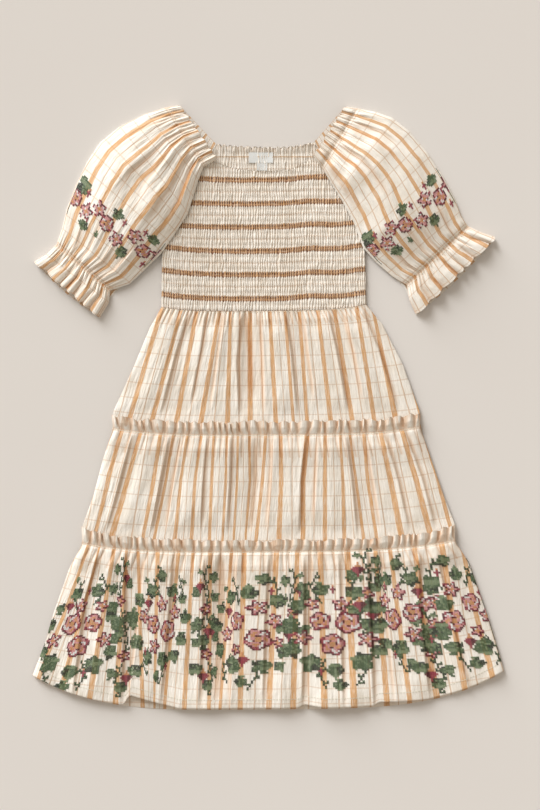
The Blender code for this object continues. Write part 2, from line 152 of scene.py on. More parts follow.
# Main creases: kind, depth in mm, half width in mm, then pixels along its line.
# An edge drops away to the right of its line, and an edge_l to the left.
TIER_1_CREASES = (
    ("edge", 3.0, 9, (188, 312), (176, 350), (160, 412)),
    ("edge", 2.4, 8, (205, 312), (200, 350), (190, 400)),
    ("edge_l", 2.6, 8, (226, 312), (220, 352), (212, 410)),
    ("edge", 2.6, 8, (240, 316), (236, 360), (238, 412)),
    ("valley", 3.4, 6, (246, 312), (250, 352), (251, 396)),
    ("edge_l", 3.0, 9, (262, 312), (264, 350), (266, 412)),
    ("edge", 3.4, 9, (284, 312), (290, 350), (296, 412)),
    ("edge_l", 2.4, 7, (305, 314), (309, 350), (316, 400)),
    ("edge", 3.0, 8, (327, 312), (336, 352), (346, 408)),
    ("edge_l", 2.2, 8, (345, 314), (356, 355), (364, 398)),
    ("edge", 2.8, 8, (363, 314), (378, 350), (396, 410)),
    ("round", 2.2, 9, (172, 318), (160, 352), (146, 408)),
    ("round", 2.0, 10, (213, 330), (208, 370), (200, 410)),
    ("round", 2.2, 10, (273, 330), (277, 370), (283, 412)),
    ("round", 2.0, 9, (317, 330), (324, 370), (336, 410)),
    ("round", 2.0, 9, (352, 330), (362, 362), (376, 406)),
)
TIER_2_CREASES = (
    ("edge", 3.2, 9, (132, 434), (122, 470), (106, 530)),
    ("edge", 3.4, 9, (169, 434), (160, 480), (150, 532)),
    ("edge_l", 2.4, 8, (184, 436), (175, 480), (168, 528)),
    ("edge", 2.8, 8, (206, 434), (203, 470), (200, 526)),
    ("edge", 3.0, 8, (230, 434), (229, 480), (226, 530)),
    ("valley", 3.4, 5, (255, 434), (255, 481), (250, 530)),
    ("edge_l", 2.8, 9, (274, 434), (272, 480), (268, 530)),
    ("edge", 3.4, 9, (305, 434), (300, 480), (298, 532)),
    ("edge_l", 2.2, 8, (319, 436), (317, 478), (315, 520)),
    ("edge", 3.2, 9, (345, 434), (351, 480), (356, 532)),
    ("edge", 3.0, 8, (384, 434), (397, 480), (408, 530)),
    ("edge_l", 2.4, 7, (368, 440), (374, 480), (382, 528)),
    ("edge", 2.6, 8, (405, 434), (421, 478), (434, 528)),
    ("round", 2.4, 10, (150, 446), (139, 486), (126, 530)),
    ("round", 2.2, 9, (196, 446), (190, 490), (184, 530)),
    ("round", 2.2, 10, (219, 446), (217, 490), (214, 530)),
    ("round", 2.4, 11, (288, 446), (288, 490), (287, 530)),
    ("round", 2.4, 10, (331, 446), (334, 490), (336, 530)),
    ("round", 2.0, 9, (395, 446), (408, 484), (420, 526)),
)
TIER_3_CREASES = (
    ("edge", 3.2, 9, (97, 556), (84, 600), (73, 688)),
    ("edge", 3.8, 10, (124, 556), (124, 620), (120, 696)),
    ("edge_l", 2.6, 8, (146, 556), (140, 620), (130, 700)),
    ("edge", 3.0, 9, (172, 556), (168, 612), (160, 704)),
    ("edge", 3.2, 9, (203, 556), (202, 610), (198, 704)),
    ("valley", 4.6, 7, (222, 556), (221, 620), (216, 700)),
    ("edge_l", 3.0, 8, (238, 556), (234, 620), (231, 704)),
    ("edge", 2.8, 9, (268, 556), (264, 620), (262, 704)),
    ("edge", 4.2, 10, (303, 556), (303, 620), (301, 706)),
    ("edge_l", 2.4, 8, (313, 556), (312, 620), (309, 700)),
    ("edge", 2.8, 9, (338, 556), (340, 620), (342, 704)),
    ("edge", 4.4, 11, (366, 556), (369, 620), (373, 706)),
    ("edge_l", 2.6, 8, (383, 556), (388, 620), (396, 700)),
    ("edge", 3.6, 9, (418, 556), (419, 610), (428, 694)),
    ("edge", 3.0, 9, (436, 556), (448, 610), (468, 690)),
    ("round", 2.6, 11, (110, 566), (100, 620), (94, 694)),
    ("round", 2.8, 13, (158, 570), (155, 630), (147, 700)),
    ("round", 2.6, 12, (188, 570), (184, 630), (178, 704)),
    ("round", 2.8, 13, (252, 570), (250, 630), (246, 704)),
    ("round", 2.8, 14, (286, 570), (284, 630), (281, 704)),
    ("round", 2.8, 13, (324, 570), (324, 630), (324, 704)),
    ("round", 2.6, 12, (352, 570), (354, 630), (358, 704)),
    ("round", 2.8, 13, (400, 570), (408, 630), (414, 700)),
    ("round", 2.4, 10, (452, 574), (460, 630), (478, 684)),
)


def level_point(level, share):
    x = level[0] + share * (level[2] - level[0])
    straight = level[1] + share * (level[3] - level[1])
    sag = level[4] - (level[1] + level[3]) / 2
    return x, straight + sag * (1 - np.abs(2 * share - 1) ** 4)


def smooth_step(value):
    value = np.clip(value, 0.0, 1.0)
    return value * value * (3 - 2 * value)


def softened(values, passes):
    """Takes the corners off a table that was read between a few rows."""
    values = np.array(values, float)
    for _ in range(passes):
        inner = (values[:-2] + 2 * values[1:-1] + values[2:]) / 4
        values = np.concatenate([values[:1], inner, values[-1:]])
    return values


def smooth_noise(rng, shape, cells):
    """Seeded smooth noise from -1 to 1 over a grid, with cells across and down."""
    down, across = cells
    knots = rng.uniform(-1, 1, (down + 3, across + 3))
    rows = np.linspace(0, down, shape[0])
    columns = np.linspace(0, across, shape[1])
    r0 = np.floor(rows).astype(int)
    c0 = np.floor(columns).astype(int)
    fr = smooth_step(rows - r0)[:, None]
    fc = smooth_step(columns - c0)[None, :]
    a = knots[r0][:, c0]
    b = knots[r0][:, c0 + 1]
    c = knots[r0 + 1][:, c0]
    d = knots[r0 + 1][:, c0 + 1]
    return (a * (1 - fc) + b * fc) * (1 - fr) + (c * (1 - fc) + d * fc) * fr


class Sheet:
    """A cloth shell: a grid of points in mm with cloth coordinates and a value of painted shade."""

    def __init__(self, name, x, y, z, s, t, shade=None, pale=None):
        self.name = name
        self.x, self.y, self.z = [np.array(part, float) for part in (x, y, z)]
        self.s, self.t = np.array(s, float), np.array(t, float)
        self.shade = np.zeros_like(self.x) if shade is None else np.array(shade, float)
        self.pale = np.zeros_like(self.x) if pale is None else np.array(pale, float)

    def points(self):
        return np.stack([self.x, self.y, self.z], axis=-1)

    def turned_under(self, depth, thick, rows=3):
        """Adds a hem that is turned under along the last row."""
        way_x = self.x[-1] - self.x[-2]
        way_y = self.y[-1] - self.y[-2]
        size = np.hypot(way_x, way_y) + 1e-9
        way_x, way_y = way_x / size, way_y / size
        for step in range(1, rows + 1):
            turn = math.pi * min(step / (rows - 1), 1.0)
            out = 0.5 * thick * math.sin(turn)
            back = depth if step == rows else 0.0
            down = 0.5 * thick * (1 - math.cos(turn))
            self.x = np.vstack([self.x, self.x[-step] + way_x * (out - back)])
            self.y = np.vstack([self.y, self.y[-step] + way_y * (out - back)])
            self.z = np.vstack([self.z, self.z[-step] - down])
            self.s = np.vstack([self.s, self.s[-1]])
            self.t = np.vstack([self.t, self.t[-1] + 0.03])
            self.shade = np.vstack([self.shade, self.shade[-1]])
            self.pale = np.vstack([self.pale, self.pale[-1]])
        return self

    def build(self):
        rows, columns = self.x.shape
        mesh = bpy.data.meshes.new(self.name)
        index = np.arange(rows * columns).reshape(rows, columns)
        quads = np.stack([index[:-1, :-1], index[1:, :-1], index[1:, 1:], index[:-1, 1:]], axis=-1)
        quads = quads.reshape(-1, 4)
        corners = quads.reshape(-1)
        mesh.vertices.add(rows * columns)
        mesh.vertices.foreach_set("co", (self.points() * MM).reshape(-1))
        mesh.loops.add(len(corners))
        mesh.loops.foreach_set("vertex_index", corners)
        mesh.polygons.add(len(quads))
        mesh.polygons.foreach_set("loop_start", np.arange(len(quads)) * 4)
        mesh.update(calc_edges=True)
        layer = mesh.uv_layers.new(name="Cloth")
        flat = np.stack([self.s.reshape(-1)[corners], self.t.reshape(-1)[corners]], axis=-1)
        layer.data.foreach_set("uv", flat.reshape(-1))
        # The shade attribute carries painted shade for the cloth material
        for name, values in (("shade", self.shade), ("pale", self.pale)):
            layer = mesh.attributes.new(name, "FLOAT", "POINT")
            layer.data.foreach_set("value", values.reshape(-1))
        mesh.shade_smooth()
        item = bpy.data.objects.new(self.name, mesh)
        bpy.context.scene.collection.objects.link(item)
        return item


def stripe_table(stripes, heights_px, left_s=None):
    """x of every stripe line at each table height, with its cloth coordinate in pitches."""
    heights, lines = stripes
    places = []
    s = 0.0
    for number, line in enumerate(lines):
        kind = line[0]
        if number == 0:
            s = 0.5 if kind == "t" else 1.0
        else:
            before = lines[number - 1][0]
            s += 1.0 if kind == before else 0.5
        places.append((s, px_x(line[1:])))
    return px_y(heights), places


def cloth_across(x, y, stripes):
    """Cloth coordinate across, from the places of the stripes at each height."""
    heights, places = stripe_table(stripes, None)
    values = np.array([place[0] for place in places])
    out = np.zeros_like(x)
    for row in range(x.shape[0]):
        middle = y[row, x.shape[1] // 2]
        line_x = []
        for _, xs in places:
            order = np.argsort(heights)
            slope = (xs[-1] - xs[0]) / (heights[-1] - heights[0])
            at = np.interp(middle, heights[order], xs[order])
            if middle > heights.max():
                at += slope * (middle - heights.max())
            if middle < heights.min():
                at += slope * (middle - heights.min())
            line_x.append(at)
        line_x = np.maximum.accumulate(np.array(line_x) + np.arange(len(line_x)) * 1e-4)
        out[row] = np.interp(x[row], line_x, values)
        rate = 1 / 22.0
        out[row] += np.minimum(x[row] - line_x[0], 0) * rate + np.maximum(x[row] - line_x[-1], 0) * rate
    return out


def crease_height(x, y, crease):
    """Height of one crease, and the painted shade at its foot."""
    kind, depth, half, *line = crease
    line = np.array(line, float)
    line_x, line_y = px_x(line[:, 0]), px_y(line[:, 1])
    order = np.argsort(line_y)
    centre = np.interp(y, line_y[order], line_x[order])
    top, bottom = line_y.max(), line_y.min()
    along = (top - y) / (top - bottom)
    inside = smooth_step((along + 0.10) / 0.16) * smooth_step((1.12 - along) / 0.30)
    d = x - centre
    if kind == "edge_l":
        d = -d
    if kind in ("edge", "edge_l"):
        rise = np.exp(-np.minimum(-d, 60) / half) * (d <= 0)
        fall = np.exp(-((d / 1.5) ** 2)) * (d > 0)
        height = depth * (rise + fall)
        foot_shade = np.exp(-(((d - 2.6) / 2.2) ** 2))
    elif kind == "round":
        height = depth * np.exp(-((d / half) ** 2))
        foot_shade = np.zeros_like(d)
    else:
        height = -depth * np.exp(-np.abs(d / half) ** 1.4)
        foot_shade = np.exp(-((d / (0.55 * half)) ** 2))
    return height * inside, foot_shade * inside


def fine_gathers(rng, x, y, top_y, reach, pitch, depth, left, right):
    """Seeded small gathers that hang from a seam and fade out at uneven lengths, with painted shade at
    their feet.
    """
    height = np.zeros_like(x)
    foot_shade = np.zeros_like(x)
    place = left
    while place < right:
        width = pitch * rng.uniform(0.30, 0.55)
        length = reach * rng.uniform(0.35, 1.3)
        strength = depth * rng.uniform(0.5, 1.25)
        lean = rng.uniform(-0.07, 0.07) + 0.16 * place / max(abs(left), abs(right))
        down = top_y - y
        centre = place + lean * down
        fade = np.exp(-np.maximum(down, 0) / length * 1.6)
        d = (x - centre) / (width * (1 + 0.5 * np.maximum(down, 0) / reach))
        height += strength * np.exp(-d * d) * fade
        foot_shade += np.exp(-(((d - 1.25) / 0.4) ** 2)) * fade
        place += pitch * rng.uniform(0.7, 1.3)
    return height, np.clip(foot_shade, 0, 1)


def level_grid(levels, shares, across):
    """x and y of a panel from its cross lines; shares are the places of the rows between them."""
    u = np.linspace(0, 1, across)
    knots = [level_point(level, u) for level in levels]
    kx = np.array([k[0] for k in knots])
    ky = np.array([k[1] for k in knots])
    at = np.linspace(0, len(levels) - 1, len(levels))
    x = np.array([[np.interp(v, at, kx[:, c]) for c in range(across)] for v in shares])
    y = np.array([[np.interp(v, at, ky[:, c]) for c in range(across)] for v in shares])
    return softened(x, 12), y, u


def hem_lift(u):
    height = np.zeros_like(u)
    for start, end, size in HEM_LIFTS:
        inside = (u >= start) & (u <= end)
        rise = smooth_step((u - start) / 0.02)
        height += np.where(inside, size * rise * (end - u) / (end - start), 0.0)
    return height


def edge_wave(rng, count, columns, least=0.6):
    """Puffs of uneven width: a phase that grows from 0 to count across the columns."""
    steps = rng.uniform(least, 2 - least, count)
    knots = np.concatenate([[0], np.cumsum(steps)]) / steps.sum()
    return np.interp(np.linspace(0, 1, columns), knots, np.arange(count + 1))


def ridge(phase, sharp=0.75):
    """Round backs with narrow valleys between whole numbers of phase."""
    return np.abs(np.sin(np.pi * phase)) ** sharp


def main_height(x, y, creases):
    height = np.zeros_like(x)
    foot_shade = np.zeros_like(x)
    for crease in creases:
        h, f = crease_height(x, y, crease)
        height = height + h
        foot_shade = np.maximum(foot_shade, f)
    return height, foot_shade


def side_fade(u, share=0.02):
    near = np.minimum(u, 1 - u) / share
    return np.sqrt(np.clip(near * (2 - np.clip(near, 0, 1)), 0, 1))


def tier_front(name, seed, levels, bases, creases, stripes, columns, per_level, top_wave,
               gather_pitch, gather_depth, gather_reach, heading):
    """One gathered tier of the skirt's front."""
    rng = np.random.default_rng(seed)
    shares = []
    for number, count in enumerate(per_level):
        shares.extend(number + np.arange(count) / count)
    shares.append(len(levels) - 1)
    shares = np.array(shares)
    x, y, u = level_grid(levels, shares, columns)
    rows = len(shares)
    at = np.arange(len(levels))
    base = np.interp(shares, at, [b[0] for b in bases])[:, None]
    body = np.interp(shares, at, [b[1] for b in bases])[:, None]
    frill = np.interp(shares, at, [b[2] for b in bases])[:, None]
    height, foot_shade = main_height(x, y, creases)
    seam = levels[2 if heading else 0]
    seam_y = level_point(seam, u)[1][None, :]
    left, right = seam[0], seam[2]
    small, small_foot_shade = fine_gathers(
        rng, x, y, seam_y, gather_reach, gather_pitch, gather_depth, left, right)
    tiny, tiny_foot_shade = fine_gathers(
        rng, x, y, seam_y, gather_reach * 0.4, gather_pitch * 0.55, gather_depth * 0.6, left, right)
    broad = 1.2 * smooth_noise(rng, x.shape, (3, 14)) + 0.5 * smooth_noise(rng, x.shape, (6, 40))
    lengthwise = 0.28 * smooth_noise(rng, x.shape, (7, 110))
    height = height + small + tiny + broad + 1.6
    height = np.maximum(height, 0.0) + 0.25 * np.minimum(height, 0.0)
    height = 9.5 * np.tanh(height / 9.5)
    phase = edge_wave(rng, top_wave, columns)[None, :]
    t = np.vstack([np.zeros((1, columns)), np.cumsum(-np.diff(y, axis=0), axis=0)]) / CROSS_PITCH
    if heading:
        drift = 0.30 * smooth_noise(rng, x.shape, (3, 30)) * np.clip((y - seam_y) / 4.0, 0, 1)
        puff = ridge(phase + drift, 0.55)
        top = np.clip((y - seam_y) / 13.0, 0, 1)
        y = y + top * (3.0 * (puff - 0.6) + 1.6 * smooth_noise(rng, (1, columns), (1, 34)))
        x = x + top * 1.3 * np.sin(2 * np.pi * phase)
    else:
        puff = ridge(phase)
    z = base + WALL + side_fade(u)[None, :] * (body * (height + lengthwise) + frill * puff)
    # Painted shade: darker at crease feet, between frill puffs, along the heading seam, in gaps under
    # the heading and on low ground
    shade = body * (0.9 * foot_shade + 0.45 * small_foot_shade) + (frill > 0.5) * 1.2 * (1 - puff) ** 1.6
    if heading:
        shade = shade + 0.8 * np.exp(-(((y - seam_y) / 0.9) ** 2))
        gap = np.clip((y - seam_y) / 3.0, 0, 1) * (1 - ridge(phase + drift, 0.9))
        shade = shade + 0.9 * gap
    shade = np.clip(shade + 0.12 * np.clip(1.6 - height, 0, 2) * body, 0, 1)
    s = cloth_across(x, y, stripes)
    if heading:
        s = s + 0.12 * np.sin(2 * np.pi * phase) * np.clip((y - seam_y) / 6.0, 0, 1)
    pale = np.zeros_like(x)
    if heading:
        pale = 0.50 * np.clip((y - seam_y + 2.0) / 3.0, 0, 1)
    return Sheet(name, x, y, z, s, t, shade, pale), u


def tiers():
    top = WAIST - np.array((0, 0.3, 0, 0.3, 0.3))
    tuck = np.array((0, 2.0, 0, 2.0, 2.0))
    fronts = []
    sheet, _ = tier_front(
        "tier_1_front_cloth", 3,
        [top, top + 0.4 * (TIER_1_UPPER - top), TIER_1_UPPER, TIER_1_LOWER,
         TIER_1_LOWER + 0.72 * (HEADING_1 - TIER_1_LOWER),
         TIER_1_LOWER + 0.96 * (HEADING_1 - TIER_1_LOWER), SEAM_1 - tuck],
        [(ON_BACK, 0.25, 2.2), (ON_BACK, 0.8, 0.8), (ON_BACK, 1, 0), (ON_BACK, 1, 0),
         (ON_BACK, 0.8, 0), (ON_SEAM, 0.05, 0), (ON_SEAM, 0, 0)],
        TIER_1_CREASES, TIER_1_STRIPES, 420, (10, 14, 26, 30, 14, 4), 46, 9.0, 2.6, 34.0, False)
    fronts.append(sheet)
    sheet, _ = tier_front(
        "tier_2_front_cloth", 5,
        [HEADING_1, HEADING_1 + 0.5 * (SEAM_1 - HEADING_1), SEAM_1,
         SEAM_1 - 1.75 * tuck, SEAM_1 + 0.4 * (TIER_2_UPPER - SEAM_1), TIER_2_UPPER, TIER_2_LOWER,
         TIER_2_LOWER + 0.66 * (HEADING_2 - TIER_2_LOWER),
         TIER_2_LOWER + 0.96 * (HEADING_2 - TIER_2_LOWER), SEAM_2 - tuck],
        [(ON_FRONT, 0, 4.6), (ON_FRONT, 0, 3.8), (ON_FRONT, 0, 0.5), (ON_FRONT - 0.7, 0.30, 1.6),
         (ON_SEAM, 0.9, 0.9), (ON_BACK, 1, 0), (ON_BACK, 1, 0), (ON_BACK, 0.8, 0),
         (ON_SEAM, 0.05, 0), (ON_SEAM, 0, 0)],
        TIER_2_CREASES, TIER_2_STRIPES, 500, (8, 8, 4, 8, 14, 24, 22, 12, 3), 36, 10.0, 3.0,
        34.0, True)
    fronts.append(sheet)
    sheet, u = tier_front(
        "tier_3_front_cloth", 7,
        [HEADING_2, HEADING_2 + 0.5 * (SEAM_2 - HEADING_2), SEAM_2,
         SEAM_2 - 1.75 * tuck, SEAM_2 + 0.5 * (TIER_3_UPPER - SEAM_2), TIER_3_UPPER,
         TIER_3_MIDDLE, TIER_3_LOWER, FRONT_HEM],
        [(ON_FRONT, 0, 4.6), (ON_FRONT, 0, 3.8), (ON_FRONT, 0, 0.5), (ON_FRONT - 0.7, 0.35, 1.8),
         (ON_SEAM, 0.95, 1.0), (ON_BACK, 1.05, 0), (ON_BACK, 1.05, 0), (ON_BACK, 1.0, 0),
         (ON_BACK, 0.95, 0)],
        TIER_3_CREASES, TIER_3_STRIPES, 560, (8, 8, 4, 8, 12, 32, 25, 36), 42, 11.0, 3.4,
        40.0, True)
    below = np.clip((TIER_3_MIDDLE[4] - sheet.y) / 60.0, 0, 1)
    sheet.y = sheet.y + hem_lift(u)[None, :] * below ** 2
    rng = np.random.default_rng(17)
    near_hem = smooth_step(1 - (sheet.y - sheet.y[-1][None, :]) / 46.0)
    curl = 2.2 + 2.2 * smooth_noise(rng, (1, sheet.x.shape[1]), (1, 21))
    sheet.z = sheet.z + near_hem ** 1.5 * curl * side_fade(u, 0.03)[None, :]
    sheet.turned_under(9.0, 1.0)
    fronts.append(sheet)
    return fronts


def tier_back(name, seed, levels, bases, stripes, columns, per_level, hem=False):
    """A tier of the skirt's back, pressed flat by its own weight."""
    rng = np.random.default_rng(seed)
    shares = []
    for number in range(len(levels) - 1):
        shares.extend(number + np.arange(per_level) / per_level)
    shares = np.array(shares + [len(levels) - 1])
    x, y, u = level_grid(levels, shares, columns)
    base = np.interp(shares, np.arange(len(levels)), bases)[:, None]
    low = 0.5 + 0.5 * smooth_noise(rng, x.shape, (2, 46))
    press = 0.55 + 0.25 * smooth_noise(rng, x.shape, (5, 60))
    z = base + 0.12 + 0.95 * np.clip(low * press, 0, 1)
    s = cloth_across(x, y, stripes)
    t = np.vstack([np.zeros((1, columns)), np.cumsum(-np.diff(y, axis=0), axis=0)]) / CROSS_PITCH
    # Painted shade: darker where the back tier lies low
    sheet = Sheet(name, x, y, z, s, t, 0.4 * (1 - low))
    if hem:
        sheet.z = sheet.z + 0.25
        sheet.turned_under(9.0, 0.8)
        sheet.z = np.maximum(sheet.z, 0.05)
    return sheet


def backs():
    top = WAIST - np.array((0, 0.3, 0, 0.3, 0.3))
    tuck = np.array((0, 2.0, 0, 2.0, 2.0))
    return [
        tier_back("tier_1_back_cloth", 21,
                  [top, TIER_1_UPPER, TIER_1_LOWER,
                   TIER_1_LOWER + 0.72 * (HEADING_1 - TIER_1_LOWER),
                   TIER_1_LOWER + 0.96 * (HEADING_1 - TIER_1_LOWER), SEAM_1 - tuck],
                  [0, 0, 0, 0, ON_BACK, ON_BACK], TIER_1_STRIPES, 180, 8),
        tier_back("tier_2_back_cloth", 22,
                  [HEADING_1, SEAM_1, TIER_2_UPPER, TIER_2_LOWER,
                   TIER_2_LOWER + 0.66 * (HEADING_2 - TIER_2_LOWER),
                   TIER_2_LOWER + 0.96 * (HEADING_2 - TIER_2_LOWER), SEAM_2 - tuck],
                  [0, 0, 0, 0, 0, ON_BACK, ON_BACK], TIER_2_STRIPES, 200, 8),
        tier_back("tier_3_back_cloth", 23,
                  [HEADING_2, SEAM_2, TIER_3_UPPER, TIER_3_MIDDLE, TIER_3_LOWER, BACK_HEM],
                  [0, 0, 0, 0, 0, 0], TIER_3_STRIPES, 240, 10, hem=True),
    ]


# Bodice stripe lines in mm: y at the left end, the middle and the right end
BODICE_STRIPES = (
    (251.6, 244.4, 253.2), (222.3, 218.8, 223.8), (197.6, 193.8, 200.0),
    (173.1, 167.6, 174.7), (147.7, 142.2, 148.6), (121.6, 116.4, 123.2),
)
BODICE_RIBS = 82


def smock(rng, u, down, ribs, rows):
    """Rib height from 0 to 1 and the painted shade between ribs, pinched at each row of elastic."""
    phase = edge_wave(rng, ribs, u.shape[1], 0.8)[None, :]
    wander = 0.34 * smooth_noise(rng, u.shape, (rows // 2, ribs // 2))
    wander += 0.26 * smooth_noise(rng, u.shape, (rows, ribs))
    rib = ridge(phase + wander, 0.8)
    between_rows = np.abs(np.sin(np.pi * down * rows))
    strength = 0.72 + 0.28 * between_rows ** 0.7
    strength = strength * (1 + 0.30 * smooth_noise(rng, u.shape, (rows, ribs)))
    valley = (1 - rib) ** 1.2
    return rib * strength, np.clip(valley * (0.75 + 0.4 * (1 - between_rows)), 0, 1), between_rows


def bodice_front():
    rng = np.random.default_rng(31)
    rows, columns = 170, 493
    u = np.tile(np.linspace(0, 1, columns), (rows, 1))
    down = np.tile(np.linspace(0, 1, rows)[:, None], (1, columns))
    x_low, y_low = level_point(WAIST, u[0])
    x_top = FRONT_TOP[0][0] + u[0] * (FRONT_TOP[-1][0] - FRONT_TOP[0][0])
    start = 271.0
    y = start + down * (y_low - start)
    edge = np.interp(x_top, FRONT_TOP[:, 0], FRONT_TOP[:, 1])
    y = np.minimum(y, edge[None, :])
    slide = (start - y) / (start - y_low)
    x = x_top + slide * (x_low - x_top)
    height, valley, rows_wave = smock(rng, u, (start - y) / (start - 103.7), BODICE_RIBS, 26)
    z = ON_BACK + 1.2 + 1.7 * height + 0.10 * rows_wave
    z -= 1.0 * (1 - side_fade(u, 0.012))
    ends = np.array(BODICE_STRIPES)
    ends = np.vstack([ends[0] + (ends[0] - ends[1]), ends, ends[-1] + (ends[-1] - ends[-2])])
    line_y = []
    for left, middle, right in ends:
        hump = 2.2 * np.exp(-(((u[0] - 0.73) / 0.09) ** 2))
        straight = left + u[0] * (right - left)
        sag = middle - (left + right) / 2
        line_y.append(straight + sag * (1 - np.abs(2 * u[0] - 1) ** 3) + hump)
    line_y = np.array(line_y)[::-1]
    numbers = np.arange(len(ends))[::-1].astype(float)
    s = np.zeros_like(x)
    for c in range(columns):
        s[:, c] = np.interp(y[:, c], line_y[:, c], numbers)
    s = s + 0.075 * (height - 0.5)
    t = x / CROSS_PITCH * 1.1
    # The rib valleys become the painted shade of the front bodice
    return Sheet("bodice_front_cloth", x, y, z, s, t, valley)


def bodice_back():
    """The whole back of the bodice; its inside shows above the front's neckline."""
    rng = np.random.default_rng(37)
    rows, columns = 112, 260
    u = np.tile(np.linspace(0, 1, columns), (rows, 1))
    down = np.tile(np.linspace(0, 1, rows)[:, None], (1, columns))
    x_low, y_low = level_point(WAIST, u[0])
    x_top = -114.5 + u[0] * 216.0
    start = 287.0
    y = start + down * (y_low - start)
    edge = np.interp(x_top, BACK_TOP[:, 0], BACK_TOP[:, 1])
    y = np.minimum(y, edge[None, :])
    slide = (start - y) / (start - y_low)
    x = x_top + slide * (x_low - x_top)
    height, valley, rows_wave = smock(rng, u, (start - y) / (start - 103.7), 76, 28)
    z = 0.15 + 2.0 * height
    ruffle = ridge(34 * u + 0.4 * smooth_noise(rng, u.shape, (1, 30)), 0.7)
    near_edge = np.clip((y - edge[None, :] + 7) / 7, 0, 1) * smooth_step((52 - np.abs(x + 4)) / 4)
    y = y + 2.6 * (ruffle - 0.6) * near_edge
    z = z + 1.6 * ruffle * near_edge
    # Painted shade in rib valleys and in the gaps of the neck ruffle
    valley = np.maximum(valley, near_edge * (1 - ruffle))
    s = (y - 244.4) / -25.6
    return Sheet("bodice_back_cloth", x, y, z, s, x / CROSS_PITCH, 0.7 * valley)


